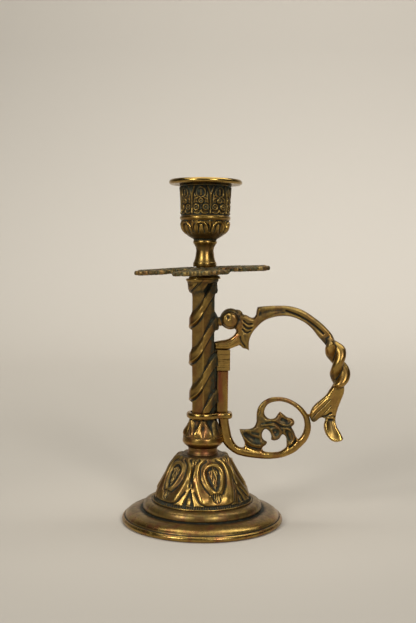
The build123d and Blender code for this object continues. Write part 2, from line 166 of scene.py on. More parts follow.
def drop_loose(obj):
    """Removes vertices no face uses and turns all faces outwards."""
    bm = bmesh.new()
    bm.from_mesh(obj.data)
    bmesh.ops.delete(bm, geom=[v for v in bm.verts if not v.link_faces], context="VERTS")
    bmesh.ops.recalc_face_normals(bm, faces=bm.faces)
    bm.to_mesh(obj.data)
    bm.free()
    return obj


def vectors(items, key="co"):
    """A 3-D property of every item of a mesh, as an (n, 3) array."""
    flat = np.empty(len(items) * 3)
    items.foreach_get(key, flat)
    return flat.reshape(-1, 3)


def grid_faces(rows, cols, close_rows):
    """Quads of a rows x cols grid of vertices, closed across its columns."""
    i = np.arange(rows if close_rows else rows - 1)[:, None]
    j = np.arange(cols)[None, :]
    i2, j2 = (i + 1) % rows, (j + 1) % cols
    quads = np.stack([i * cols + j, i * cols + j2, i2 * cols + j2, i2 * cols + j], axis=-1)
    return quads.reshape(-1, 4).tolist()


def lathe(name, loop, sides, relief=None):
    """Solid of revolution of a closed (r, z) loop; relief(theta, r, z) shifts it along its normal."""
    normal = outward(loop)
    th, r = np.meshgrid(around(sides), loop[:, 0], indexing="ij")
    z = np.broadcast_to(loop[:, 1], r.shape)
    shift = relief(th, r, z) if relief else np.zeros(r.shape)
    rr = r + shift * normal[:, 0]
    zz = z + shift * normal[:, 1]
    verts = np.stack([rr * np.cos(th), rr * np.sin(th), zz], axis=-1).reshape(-1, 3)
    return add_object(name, verts, [f[::-1] for f in grid_faces(sides, len(loop), True)])


def cast_plate(name, loops, height, spacing, rows=(0.15, 0.4, 0.8), place=None):
    """A flat casting with rounded edges. loops are closed outlines, holes included.

    height(x, z, d, side) gives the half thickness at distance d from the edge; side is -1 in
    front and +1 behind. rows are the distances from the edge at which extra points are set.
    place moves the vertices, an (n, 3) array; without it the plate stands on the XZ plane.
    """
    row_slack, grid_slack, row_pitch, merge = 0.93, 0.6, 0.87, 1e-3
    edges, base = [], 0
    for loop in loops:
        n = len(loop)
        edges += [(base + k, base + (k + 1) % n) for k in range(n)]
        base += n
    inner = [(loop + sign * row * outward(loop), row * row_slack)
             for loop in loops for row in rows for sign in (1, -1)]
    lo, hi = np.min(np.vstack(loops), axis=0), np.max(np.vstack(loops), axis=0)
    gx, gz = np.meshgrid(np.arange(lo[0], hi[0], spacing), np.arange(lo[1], hi[1], spacing * row_pitch))
    gx = gx + (np.arange(gx.shape[0])[:, None] % 2) * spacing / 2
    inner.append((np.stack([gx.ravel(), gz.ravel()], axis=1), rows[-1] + spacing * grid_slack))
    points = list(loops)
    for cloud, clear in inner:
        cloud = cloud[inside(*cloud.T, loops)]
        points.append(cloud[rim_distance(*cloud.T, loops) >= clear])
    out = delaunay_2d_cdt([Vector(p) for p in np.vstack(points)], edges, [], 0, 1e-6)
    v = np.array([tuple(p) for p in out[0]])
    tris = np.array([f for f in out[2] if len(f) == 3])
    tris = tris[inside(*v[tris].mean(axis=1).T, loops)]
    d = rim_distance(*v.T, loops)
    d[d < merge] = 0
    edge = d == 0
    front, back = (side * height(*v.T, d, side) for side in (-1, 1))
    front[edge] = back[edge] = 0
    n = len(v)
    index_back = np.where(edge, np.arange(n), n + np.arange(n))
    xyz = np.vstack([np.column_stack([v[:, 0], y, v[:, 1]]) for y in (front, back)])
    if place:
        xyz = place(xyz)
    return drop_loose(add_object(name, xyz, tris.tolist() + index_back[tris[:, ::-1]].tolist()))


def tube(name, line, section, sides):
    """Closed tube along a 3-D line; section(t, phi) gives its radius from the line."""
    tangent = np.gradient(line, axis=0)
    tangent /= np.linalg.norm(tangent, axis=1, keepdims=True)
    side = np.broadcast_to([0.0, 1.0, 0.0], line.shape)
    side = side - (side * tangent).sum(1, keepdims=True) * tangent
    side /= np.linalg.norm(side, axis=1, keepdims=True)
    out = np.cross(tangent, side)
    phi = around(sides)[None, :]
    r = section(np.linspace(0, 1, len(line))[:, None], phi)[..., None]
    ring = line[:, None] + r * (np.cos(phi)[..., None] * side[:, None] + np.sin(phi)[..., None] * out[:, None])
    faces = grid_faces(len(line), sides, False)
    n = len(line) * sides
    last = n - sides
    faces += [[n, (k + 1) % sides, k] for k in range(sides)]
    faces += [[n + 1, last + k, last + (k + 1) % sides] for k in range(sides)]
    return drop_loose(add_object(name, np.vstack([ring.reshape(-1, 3), line[0], line[-1]]), faces))


def ball(name, centre, radii, cuts=4):
    """Icosphere shell, used only as raw stock for a remeshed casting."""
    bm = bmesh.new()
    bmesh.ops.create_icosphere(bm, subdivisions=cuts, radius=1.0)
    co = np.array([v.co for v in bm.verts])
    faces = [[v.index for v in f.verts] for f in bm.faces]
    bm.free()
    return add_object(name, co * np.asarray(radii) + np.asarray(centre), faces)


def join(name, pieces):
    """One object from several shells."""
    verts, faces, base = [], [], 0
    for piece in pieces:
        mesh = piece.data
        verts.append(vectors(mesh.vertices) / MM)
        faces += [[base + i for i in p.vertices] for p in mesh.polygons]
        base += len(mesh.vertices)
        bpy.data.objects.remove(piece)
    return add_object(name, np.vstack(verts), faces)


def remesh(obj, soften, voxel_mm=0.24):
    """Joins the overlapping shells of a piece into one cast skin."""
    mod = obj.modifiers.new("skin", "REMESH")
    mod.mode = "VOXEL"
    mod.voxel_size = voxel_mm * MM
    soft = obj.modifiers.new("soft", "SMOOTH")
    soft.factor = 0.5
    soft.iterations = soften
    graph = bpy.context.evaluated_depsgraph_get()
    mesh = bpy.data.meshes.new_from_object(obj.evaluated_get(graph))
    obj.modifiers.clear()
    obj.data = mesh
    return obj


def hollow_depth(mesh, scale=0.16 * MM, rounds=(5, 30)):
    """How deep each vertex lies in a hollow; less than 0 where it stands proud."""
    n = len(mesh.vertices)
    pos, normal = vectors(mesh.vertices), vectors(mesh.vertex_normals, "vector")
    edges = np.empty(len(mesh.edges) * 2, int)
    mesh.edges.foreach_get("vertices", edges)
    a, b = edges.reshape(-1, 2).T
    count = np.maximum(np.bincount(a, minlength=n) + np.bincount(b, minlength=n), 1)
    value = np.zeros(n)
    soft = pos.copy()
    for step in range(1, rounds[-1] + 1):
        soft = np.stack([(np.bincount(a, soft[b, k], n) + np.bincount(b, soft[a, k], n)) / count
                         for k in range(3)], axis=1)
        if step in rounds:
            value += ((soft - pos) * normal).sum(1) / (scale * math.sqrt(step / rounds[0]))
    return value


def finish_piece(obj, material, body, *nodes, slot=None, grime_and_shade=None, stain=None, painted_glint=None):
    """Shading, material, patina, dirt, painted shade and painted glint data, and the piece's place in the assembly."""
    mesh = obj.data
    mesh.shade_smooth()
    depth = hollow_depth(mesh)
    place = (vectors(mesh.vertices) / MM).T
    data = {"hollow": depth, "proud": np.clip(-depth, 0, 1).astype(np.float32)}
    # this rule adds a painted glint: lighter colour where an edge would catch the light
    if painted_glint:
        data["proud"] = painted_glint(*place) + data["proud"]
    for name, rule in (("grime_and_shade", grime_and_shade), ("stain", stain)):
        if rule:
            data[name] = rule(*place)
    for name, value in data.items():
        layer = mesh.attributes.new(name, "FLOAT", "POINT")
        layer.data.foreach_set("value", np.clip(value, 0, 1).astype(np.float32))
    mesh.materials.clear()
    mesh.materials.append(material)
    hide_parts(*nodes)
    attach(obj, body)


# ------------ materials
def feed(tree, socket, value):
    """Links a socket, or sets its value."""
    if isinstance(value, bpy.types.NodeSocket):
        tree.links.new(value, socket)
    else:
        socket.default_value = value


def node(tree, kind, *numbered, **named):
    """A shader node with its sockets set or linked, by number or by name."""
    made = tree.nodes.new("ShaderNode" + kind)
    for key, value in (*enumerate(numbered), *named.items()):
        feed(tree, made.inputs[key], value)
    return made


def ramp(tree, value, *stops):
    """Grey ramp between two (position, grey) stops."""
    made = node(tree, "ValToRGB", value)
    for point, (at, grey) in zip(made.color_ramp.elements, stops):
        point.position = at
        point.color = (grey, grey, grey, 1)
    return made.outputs["Color"]


def mix(tree, fac, a, b, blend="MIX"):
    made = tree.nodes.new("ShaderNodeMix")
    made.data_type = "RGBA"
    made.blend_type = blend
    for name, value in (("Factor", fac), ("A", a), ("B", b)):
        socket = [s for s in made.inputs if s.name == name and s.enabled][0]
        feed(tree, socket, (*value, 1) if isinstance(value, tuple) else value)
    return [s for s in made.outputs if s.enabled][0]


def noise(tree, where, scale, detail, roughness):
    return node(tree, "TexNoise", Vector=where, Scale=scale, Detail=detail, Roughness=roughness).outputs["Fac"]


def stretched(tree, where, scale, turn=(0, 0, 0)):
    return node(tree, "Mapping", Vector=where, Scale=scale, Rotation=turn).outputs["Vector"]


def layer(tree, name):
    """Reads what finish_piece stored for every vertex."""
    made = node(tree, "Attribute")
    made.attribute_name = name
    return made.outputs["Fac"]


def maths(tree, operation, a, b, clamp=False):
    made = node(tree, "Math", a, b)
    made.operation = operation
    made.use_clamp = clamp
    return made.outputs[0]


def new_material(name):
    """A node material, its tree, its shader, its object coordinates, and node makers for its tree."""
    material = bpy.data.materials.new(name)
    material.use_nodes = True
    tree = material.node_tree
    where = node(tree, "TexCoord").outputs["Object"]
    makers = [partial(make, tree) for make in (mix, ramp, noise)]
    makers += [partial(maths, tree, operation) for operation in ("ADD", "SUBTRACT", "MULTIPLY")]
    return material, tree, tree.nodes["Principled BSDF"], where, makers


def surface(tree, shader, colour, metal, rough, height, strength):
    """Feeds the shader, with fine relief 0.2 mm deep."""
    relief = node(tree, "Bump", Strength=strength, Distance=0.2 * MM, Height=height).outputs["Normal"]
    for key, value in (("Base Color", colour), ("Metallic", metal), ("Roughness", rough), ("Normal", relief)):
        feed(tree, shader.inputs[key], value)


WARMTH = (1.0, 0.95, 0.78)     # takes the brasses below towards yellow
# near black of the patina in the hollows, also the colour of painted shade
BLACK_PATINA_AND_SHADE = (0.016, 0.015, 0.009)
COPPER_RED = (0.26, 0.080, 0.038)


def brass(name, bright, mid, dark=BLACK_PATINA_AND_SHADE, *, tarnish, shine, verdigris=0.5, pits=0.25, patina=1.0, ruddy=0.3,
          green=(0.030, 0.040, 0.022), scratch=0.0):
    """Aged cast brass: rubbed bright on the high places and lighter on painted glints, brown between, black and green
    in the hollows and darker where a piece gives dirt or painted shade.
    """
    bright, mid, dark, green = (tuple(c * t for c, t in zip(colour, WARMTH)) for colour in (bright, mid, dark, green))
    material, tree, shader, where, (blend, fade, cloud, add, sub, mul) = new_material(name)
    hollow, proud, grime_and_shade, stain = (layer(tree, name) for name in ("hollow", "proud", "grime_and_shade", "stain"))

    clouds, mottle, grain = cloud(where, 95, 5, 0.6), cloud(where, 420, 4, 0.65), cloud(where, 2600, 3, 0.7)
    blush = cloud(stretched(tree, where, (1, 1, 0.16)), 210, 4, 0.6)
    pit = node(tree, "TexVoronoi", Vector=where, Scale=700, Randomness=1).outputs["Distance"]

    film = add(mul(clouds, 0.6), mul(mottle, 0.4))
    film = fade(film, (0.5 - 0.22 * tarnish - 0.06, 0), (0.74 - 0.2 * tarnish, 1))
    # lighter where the piece stands proud, and on painted glints
    film = sub(film, mul(proud, 0.75), clamp=True)
    colour = blend(film, bright, mid)
    red = mul(fade(blush, (0.47, 0), (0.66, 1)), ruddy)
    red = add(red, mul(stain, fade(blush, (0.40, 0.2), (0.56, 1))), clamp=True)
    colour = blend(red, colour, COPPER_RED)

    # patina in the hollows, plus the dirt, patina and painted shade that each piece gives
    deep = add(mul(hollow, 1.35 * patina), mul(grime_and_shade, 0.95))
    deep = mul(deep, fade(mottle, (0.25, 0.55), (0.6, 1)), clamp=True)
    colour = blend(deep, colour, dark)
    bloom = mul(deep, fade(mottle, (0.46, 0), (0.62, verdigris)), clamp=True)
    colour = blend(bloom, colour, green)
    speck = mul(fade(pit, (0.05, 1), (0.16, 0)), fade(clouds, (0.46, 0), (0.60, pits)), clamp=True)
    colour = blend(speck, colour, tuple(0.5 * c for c in dark))
    if scratch:
        lines = cloud(stretched(tree, where, (0.2, 0.2, 2.6), (0, 0.1, 0)), 420, 5, 0.75)
        colour = blend(mul(fade(lines, (0.53, 0), (0.60, 1)), scratch), colour, dark)

    metal = sub(sub(1, mul(deep, 0.4), clamp=True), mul(bloom, 0.5), clamp=True)
    rough = add(add(add(shine, mul(film, 0.12)), mul(deep, 0.30)), mul(grain, 0.08))
    height = sub(add(mul(grain, 0.25), mul(mottle, 0.75)), mul(speck, 0.8))
    surface(tree, shader, colour, metal, rough, height, 0.35)
    return material


def steel(name):
    """Dull steel with a bloom of rust, for the hidden rod and its nut."""
    material, tree, shader, where, (blend, fade, cloud, add, sub, mul) = new_material(name)
    rusty = fade(cloud(where, 260, 6, 0.7), (0.42, 0), (0.62, 1))
    colour = blend(rusty, (0.30, 0.29, 0.27), (0.16, 0.075, 0.035))
    surface(tree, shader, colour, sub(1, mul(rusty, 0.8)), add(0.38, mul(rusty, 0.4)), cloud(where, 2400, 3, 0.5), 0.4)
    return material


handled = brass("handled_brass", (0.41, 0.275, 0.086), (0.18, 0.108, 0.035), tarnish=0.78, shine=0.17, pits=0.9,
                ruddy=0.7)
cast = brass("cast_brass", (0.49, 0.325, 0.101), (0.185, 0.113, 0.036), tarnish=0.8, shine=0.22, verdigris=0.6,
             pits=0.5, patina=0.9, ruddy=0.6)
column_brass = brass("column_brass", (0.45, 0.30, 0.097), (0.18, 0.113, 0.038), tarnish=0.82, shine=0.25,
                     verdigris=0.8, pits=0.4, ruddy=0.45)
cup_brass = brass("cup_brass", (0.42, 0.28, 0.086), (0.175, 0.108, 0.034), (0.010, 0.011, 0.007), tarnish=0.8,
                  shine=0.20, verdigris=0.9, pits=0.4, patina=1.4)
tarnished = brass("tarnished_brass", (0.44, 0.31, 0.12), (0.085, 0.057, 0.023), (0.008, 0.0095, 0.006), tarnish=0.85,
                  shine=0.36, verdigris=1.0, pits=0.6, ruddy=0.6, green=(0.12, 0.125, 0.065))
coppery = brass("reddish_brass", (0.60, 0.40, 0.13), (0.31, 0.195, 0.068), tarnish=0.66, shine=0.26, verdigris=0.3,
                pits=0.8, ruddy=0.4, scratch=0.75)
polished = brass("polished_brass", (0.375, 0.256, 0.082), (0.20, 0.127, 0.04), (0.05, 0.038, 0.016), tarnish=0.65,
                 shine=0.17, verdigris=0.05, pits=0.5, ruddy=0.2)
iron = steel("dull_steel")


# ------------ foot
foot_section = outline(
    [(39.8, 0.14), (41.7, 0.14), (42.45, 0.7), (42.65, 1.4), (42.4, 2.3), (41.6, 2.95), (41.05, 2.8)], [(40.85, 3.5),
    (40, 4.5), (38.6, 5.4), (36.6, 6.1), (34.6, 6.5), (31.9, 6.6), (31.3, 6.75)], [(31.5, 8), (30.8, 9.9), (29.3, 11),
    (27.6, 11.35), (26.75, 11.1)], [(26.3, 11.2), (24.45, 11.2)], [(24.4, 9.3)], [(27.2, 8.9), (28.9, 7.2),
    (29.4, 5.2)], [(35, 4.4), (38.8, 2.7), (39.8, 0.14)], step=0.35)


def foot_wear(theta, r, z):
    """Slight hand-finished waviness and a dent in the edge."""
    wave = 0.05 * np.sin(3 * theta + 1) + 0.03 * np.sin(7 * theta)
    dent = -0.25 * bump(sector(theta, 1, FRONT - 0.62), 0.035) * bump(z - 1.9, 0.9)
    return np.where((r > 31) & (r < 42), wave * 0.6, 0) + np.where(r > 41, dent, 0)


def foot_shade_and_darkening(x, y, z):
    """Painted shade in the groove under the torus and a dark line in the groove above the edge bead; the plate is a
    little darker, more so towards the torus.
    """
    r = np.hypot(x, y)
    groove = bump(r - 31.9, 1.3) * ease(7.6, 6.6, z) + 0.8 * bump(r - 41.05, 0.3)
    return groove + np.where(z > 3.1, 0.06 + 0.3 * ease(40.2, 36.8, r), 0.14) + 0.16 * ease(31.6, 31, r)


finish_piece(lathe("foot_plate_turned", foot_section, 360, foot_wear), handled, "stand", "foot_plate",
             slot="worn_brass", grime_and_shade=foot_shade_and_darkening)

bell_section = outline(
    [(26.3, 11.35), (25.9, 12.4), (25.1, 13.8), (23.5, 17.2), (21.5, 20.6), (19.5, 24), (17.6, 27.6), (15.6, 31.1),
    (13.8, 33.6), (12.2, 34.8), (10.2, 35.5)],
    [(BORE, 35.5)], [(BORE, 33.3)], [(11.2, 33.3)], [(15, 29.6), (18.3, 23.4), (21.6, 16.6), (24.5, 11.4)],
    step=0.24)

# One fifth of the bell, drawn on (mm from the cartouche's middle, height) and mirrored.
BELL_MARKS = [
    (0.95, 0.85, (0, 32.3), (3, 31.5), (4.6, 29.6), (4.9, 27.2), (4.3, 24.4), (3.3, 21.9), (2.2, 20.2), (0.5, 19.4)),
    (1.9, 1, (2.2, 35.4), (5.6, 33.8), (7.8, 31.2), (9, 28), (9.3, 24.5), (9, 21), (8.5, 17.6), (8.2, 15.2)),
    (0.5, -0.65, (2.6, 33.9), (5.6, 31.9), (6.9, 28.5), (7.05, 25.2), (6.3, 22.6), (5, 20.5), (3.7, 18.9)),
    (0.5, -0.75, (6, 34.1), (8, 32.7), (9.6, 30.4), (10.9, 27.3), (11.5, 24.2), (12.3, 22.2)),
    (0.5, -0.6, (0, 13.4), (4.5, 13.3), (7.4, 13.7), (9.4, 15), (10.3, 17), (11.2, 19.5)),
]


def bell_relief(theta, r, z):
    reach = np.maximum(r, 9)
    x = np.abs(sector(theta, 5, FRONT + math.radians(19))) * reach
    gap = math.radians(36) * reach - x                      # distance from the line between two leaves
    h = strokes(x, z, BELL_MARKS) + 0.15
    h += 0.7 * spot(x, z, 5.3, 16.9, 2, 2.6)
    h -= 0.45 * ease(0.2, 1, np.interp(z, [19.4, 22, 24.4, 27.2, 29.6, 31.3, 31.9],
                                         [0.4, 2.7, 3.7, 4.3, 3.9, 2.4, 0]) - x)
    leaf = ease(-0.3, 0.3, np.interp(z, [21.2, 24, 27, 29.4, 30.4], [0, 1.2, 2, 2.4, 0]) - x)
    h += leaf * (0.5 + 0.2 * np.cos(4.6 * x + 1.2 * z))
    fan = ease(-0.2, 0.4, np.interp(z, [14.4, 15.1, 18.8, 19.3], [0, 1.5, 3.4, 0]) - x)
    h += fan * (-0.75 + 0.27 * np.cos(x * 5.4))
    upper = ease(22.4, 24.5, z) * ease(34.6, 33.2, z)
    h += upper * (0.5 * bump(gap - 0.85, 0.6) - 0.45 * bump(gap, 0.3))
    pocket = ease(0, 0.8, (22.4 - z) * 0.4 - gap) * ease(13.3, 14, z)
    h -= 1 * pocket
    h += 0.8 * bump(gap, 1.1) * ease(18, 15.5, z) * ease(12.9, 13.8, z)
    h = np.where(z < 13.5, -0.1 + (h + 0.1) * ease(12.9, 13.5, z), h)
    h -= 0.3 * ease(12, 12.2, z) * ease(13.6, 13.3, z) * (0.5 - 0.5 * np.sign(np.cos(theta * 130)))
    h += 0.28 * bump(z - 11.7, 0.35)
    top = ease(35.5, 34.5, z)
    outer = (z > 11.36) & (r > np.interp(z, [11.3, 17, 24, 30, 33.3, 35.5], [25.4, 22.4, 18.6, 15.2, 12.2, 9]))
    return np.where(outer, h * top, 0)


def bell_darkening(x, y, z):
    # darker to the left and to the right of the front, in the notched band at the bell's foot and up by the collar
    turn = sector(np.arctan2(y, x), 1, FRONT)
    side = 0.34 * bump(turn + 0.85, 0.45) + 0.22 * bump(turn - 1.1, 0.3)
    return 0.07 + side + 0.9 * ease(13.9, 13.2, z) * ease(11.8, 12.2, z) + 0.5 * ease(34, 35.4, z)


finish_piece(lathe("foot_bell_cast", bell_section, 560, bell_relief), cast, "stand", "foot_bell",
             slot="patinated_brass", grime_and_shade=bell_darkening)

collar_section = outline(
    [(BORE, 35.5), (8.2, 35.5)], [(8.35, 35.9), (8.1, 36.3)], [(7.95, 36.9), (7.75, 37.6), (7.7, 38.4), (7.8, 39.2)],
    [(BORE, 39.2)], step=0.16)
finish_piece(lathe("neck_collar_turned", collar_section, 220), column_brass, "stand", "neck_collar",
             slot="copper_toned_brass",
             grime_and_shade=lambda x, y, z: 0.15 + 0.3 * ease(36.7, 36.2, z) + 0.3 * ease(38.4, 39, z),
             stain=lambda x, y, z: np.full(z.shape, 0.45))

# ------------ knop
knop_section = outline(
    [(7.9, 39.25), (8.6, 39.9), (10, 41), (10.75, 42.3), (10.75, 43.4), (10.35, 45.2), (9.5, 47.4), (8.2, 49.8),
    (7.3, 52), (7.1, 53.9)],
    [(6.8, 54.6), (BORE, 54.6)], [(BORE, 39.25)], step=0.2)
KNOP_MARKS = [
    (1.25, 0.95, (0.2, 54), (0.8, 52.6), (1.9, 50.4), (3.1, 48.2), (4.2, 46.6)),
    (0.55, -0.3, (0.2, 50.6), (0.3, 48), (0.3, 46)),
    (0.5, -0.3, (4.4, 46), (3.2, 45.1), (1.7, 45.3), (0, 45)),
]


def knop_relief(theta, r, z):
    reach = np.maximum(r, 7)
    x = np.abs(sector(theta, 6, FRONT)) * reach
    gap = math.radians(30) * reach - x
    h = strokes(x, z, KNOP_MARKS)
    bare = ease(0.3, 1.3, x - np.interp(z, [45, 46.5, 48.4, 50.7, 52.9, 54], [4.6, 4.4, 3.3, 2.3, 1.2, 0.6]))
    h -= 0.75 * bare * ease(45.4, 46.6, z)
    h += 0.8 * bump(np.hypot(gap, (z - 48.6) * 0.7), 1)
    return np.where((z > 39.9) & (z < 54.1) & (r > 7), h * ease(44.2, 45.4, z), 0)


def knop_grime(x, y, z):
    bearing = np.degrees(np.arctan2(y, x))
    return 0.75 * ease(75, 40, np.abs(bearing + 20)) * ease(44, 50, z) + 0.4 * ease(52, 54, z)


finish_piece(lathe("stem_knop_cast", knop_section, 300, knop_relief), cast, "stand", "stem_knop",
             slot="patinated_brass", grime_and_shade=knop_grime)

# ------------ column
PITCH, CREST_Z = 38.6, 65.65      # of the ribbon
HALF_BAND = 38                    # half the ribbon's width, in degrees round the column
FLAT = 5.85                       # from the axis to each of the six flats


def ribbon_side(theta, z):
    """Place across the ribbon: -1 at its lower edge, +1 at its upper. It climbs fastest in front."""
    lift = 1.9 * np.sin(2 * (theta - FRONT)) + 1.03 * (1 - np.cos(2 * (theta - FRONT)))
    return -np.degrees(sector(theta - 2 * math.pi * (z - lift - CREST_Z) / PITCH, 2, 0)) / HALF_BAND


def ribbon_soft(theta):
    """0 on the two flats where the ribbon's upper edge stays crisp, 1 where it is worn away."""
    return ease(30, 37, np.abs(np.degrees(sector(theta, 2, FRONT + math.radians(33)))))


def column_radius(theta, z):
    """Six flats with a two-start ribbon wound over them, swelling into the cushion at the top."""
    turn = np.degrees(sector(theta, 6, FRONT + math.radians(30)))
    flats = FLAT / np.cos(np.radians(np.clip(np.abs(turn), 0, 29)))
    s, soft = ribbon_side(theta, z), ribbon_soft(theta)
    band = ease(1.02 + 0.25 * soft, 0.92 - 0.8 * soft, s) * ease(-1.06, -0.45 - 0.35 * soft, s)
    proud = 1.65 - 0.75 * (flats - FLAT) - 0.35 * (1 - soft) * ease(0.4, -0.6, s)
    proud = proud + 0.7 * ease(50, 15, np.abs(np.degrees(sector(theta, 1, 0)))) * ease(115, 112, z)
    lip = 0.22 * soft * bump(s + 0.74, 0.16) + 0.48 * (1 - soft) * bump(s - 0.9, 0.07)
    line = -0.38 * soft * bump(s + 1.1, 0.07) - 0.25 * (1 - soft) * bump(s - 1.12, 0.07)
    line = line - 0.16 * soft * bump(s - 0.95, 0.06)
    shaft = flats + band * (proud + lip) + line
    cushion = np.interp(z, [118, 120, 121.5, 123, 124.5, 126, 126.6, 127.3, 127.9, 128.2, 128.4],
                        [5, 5.9, 6.7, 7.35, 7.7, 7.85, 8, 8.5, 8.65, 8.6, 8.45])
    carved = ease(126.4, 125.6, z)
    pocket = (1 - soft) * ease(1, 1.15, s) * ease(2.1, 1.5, s)
    pocket = pocket + soft * ease(0.1, 0.4, s) * ease(1.5, 1.1, s) * ease(123.8, 124.6, z)
    cushion = cushion + carved * (1.4 * line - 1.5 * pocket + 0.35 * lip)
    over = np.maximum(shaft, cushion)
    blend = 0.25 * np.exp(-np.abs(shaft - cushion) / 0.4)
    melted = over + np.where((z > 118) & (z < 125), blend, 0)
    wound = ease(57, 58.6, z)
    return (flats + 0.02) * (1 - wound) + melted * wound


def column_patina_and_shade(x, y, z):
    """The side behind the handle is never rubbed and keeps a dark patina; painted shade on the front right flat, patina
    and painted shade in the hollow over each ribbon, painted shade under its soft lower edge, in the cushion's pockets
    and under the pan.
    """
    theta = np.arctan2(y, x)
    s, soft = ribbon_side(theta, z), ribbon_soft(theta)
    # dark patina on the side behind the handle, and painted shade on the front right flat
    side_patina_and_shade = 0.95 * ease(62, 38, np.abs(np.degrees(theta))) + 0.16 * bump(np.degrees(theta) + 50, 26)
    # patina and painted shade over the ribbon, painted shade under its soft lower edge and in the cushion's pockets
    above = (1 - soft) * ease(0.98, 1.1, s) * ease(2.2, 1.2, s)
    below = soft * bump(s + 1.14, 0.12)
    pocket = ease(7.6, 6.9, np.hypot(x, y)) * ease(119, 123, z) * ease(126.6, 126, z)
    # the last term is the painted shadow of the pan over the top of the column
    return side_patina_and_shade + 0.7 * above + 0.9 * below + 0.9 * pocket + 0.3 * ease(112, 124, z) * ease(127.2, 126.2, z)


def column_painted_glint(x, y, z):
    """Painted glint: lighter colour along the crisp upper edge of the ribbon, where it would catch the light."""
    theta = np.arctan2(y, x)
    return 1.3 * (1 - ribbon_soft(theta)) * bump(ribbon_side(theta, z) - 0.9, 0.11) * ease(118, 112, z)


def column_mesh():
    zs = np.concatenate([np.arange(54.1, 118, 0.2), np.arange(118, 128.4, 0.13), [128.4]])
    theta = around(264)
    zz, th = np.meshgrid(zs, theta, indexing="ij")
    bend = -0.45 * ease(62, 100, zs) - 0.75 * ease(119, 127, zs)
    rings = [(BORE, zs[0], 0), *zip(column_radius(th, zz), zs, bend), (BORE, zs[-1], 0)]
    verts = [np.column_stack([r * np.cos(theta) + shift, r * np.sin(theta), np.full(len(theta), z)])
             for r, z, shift in rings]
    return drop_loose(add_object("stem_column_cast", np.vstack(verts), grid_faces(len(rings), len(theta), True)))


finish_piece(column_mesh(), column_brass, "stand", "stem_column", slot="patinated_brass", grime_and_shade=column_patina_and_shade,
             painted_glint=column_painted_glint)

# ------------ pan washer, cup and nozzle
washer_section = outline(
    [(BORE, 128.4), (8.5, 128.4)], [(8.3, 129.1), (7.7, 129.8), (6.9, 130.2)], [(6.6, 131.05)], [(4.5, 131.1)],
    [(4.5, 134.6)], [(BORE, 134.6)], step=0.2)
finish_piece(lathe("pan_washer_turned", washer_section, 160), column_brass, "stand", "pan_washer", slot="dark_brass")

cup_section = outline(
    [(2.5, 134.62), (5.9, 134.62)], [(6.15, 135.2), (6.1, 136.6), (5.8, 137.1)], [(5.2, 138.9), (4.78, 141.2),
    (4.6, 143.4), (5, 145.2), (5.75, 146.4)], [(6.15, 147), (6.25, 147.7), (5.9, 148.6)], [(6.4, 149.2), (8.3, 150.3),
    (10.2, 151.8), (11.5, 153.7), (12.2, 156), (12.45, 158.4)], [(12.95, 159.2), (13.35, 160), (12.95, 160.9),
    (12.5, 161.4)], [(12.65, 164), (12.9, 170), (13.1, 175), (13.3, 176.2)], [(13.6, 176.6), (13.6, 177.15)],
    [(12, 177.15)], [(12, 156.4)], [(2.5, 156.4)], step=0.2)

# One eighth of the upper band, and below one eighth of the bowl, mirrored about the panel's middle.
CUP_MARKS = [
    (0.52, 0.75, (5.1, 162.4), (5.1, 167), (5.1, 171.5)),
    (0.45, 0.75, (5.1, 171.3), (4.4, 173.6), (3.5, 175.8)),
    (0.4, 0.6, (0.1, 175.4), (1.7, 174.5), (2.4, 172.8), (1.9, 171), (0.1, 170.1)),
    (0.5, 0.55, (0, 173.8), (0, 171.6)),
    (0.36, 0.45, (1.5, 169.9), (3.4, 169.2), (3.9, 167)),
    (0.36, 0.5, (0.2, 163.4), (0.8, 162.4), (2.2, 162), (3.6, 162.6)),
    (0.32, -0.5, (4.15, 164), (4.15, 171), (3.4, 173.4)),
    (0.32, -0.4, (2.9, 175.6), (3.1, 171.6)),
    (0.35, -0.4, (1.2, 163.2), (2.6, 163), (4.1, 163)),
    (0.5, -0.45, (0, 166.6), (0, 164.4)),
]
BOWL_MARKS = [
    (0.6, 0.85, (0, 157.7), (1.9, 157.2), (3.1, 155.6), (3.3, 153.6), (2.8, 151.6)),
    (0.36, -0.65, (1.4, 158.6), (3.1, 157.5), (4.15, 155.3), (4.1, 152.8)),
    (0.5, 0.5, (0, 155.9), (0, 151.4)),
    (0.36, -0.55, (1.35, 156), (1.6, 152.2)),
    (0.5, 0.65, (4.85, 158.2), (4.75, 154.5), (4.2, 151.6)),
]


def cup_relief(theta, r, z):
    a = sector(theta, 8, FRONT - math.radians(10.5))
    x = np.abs(a) * np.clip(r, 9, 13.2)
    upper = strokes(x, z, CUP_MARKS) - 0.15
    for at, high, wide, boss in ((0, 168.4, 1.05, 0.45), (2.55, 165.2, 1.35, 0.6)):
        d = np.hypot(x - at, z - high)
        upper += 0.6 * bump(d - wide, 0.36) + boss * bump(d, 0.45)
        upper -= 0.35 * bump(d - wide - 0.75, 0.3)
    upper += 0.5 * bump(np.hypot(x - 5.1, z - 162.3), 0.7)
    bowl = strokes(np.abs(a) * np.maximum(r, 8.2), z, BOWL_MARKS) - 0.1
    upper = np.where((z > 161.5) & (z < 176.4) & (r > 12.3), upper * ease(161.4, 161.9, z)
                     * ease(176.5, 176, z), 0)
    bowl = np.where((z > 149.8) & (z < 158.8) & (r > np.interp(z, [149, 152, 156.5], [6.2, 9.2, 12.1])),
                    bowl * ease(150.6, 154.6, z) * ease(158.9, 158.2, z), 0)
    return upper + bowl


def cup_patina_and_shade(x, y, z):
    # dark verdigris in the upper band, deepening to a painted shadow under the nozzle's rim; the bowl darker towards
    # its foot
    band = ease(161.2, 162, z) * (0.3 + 0.65 * ease(170.5, 175.5, z))
    return band + 0.3 * ease(156, 151, z) * ease(148.8, 149.6, z)


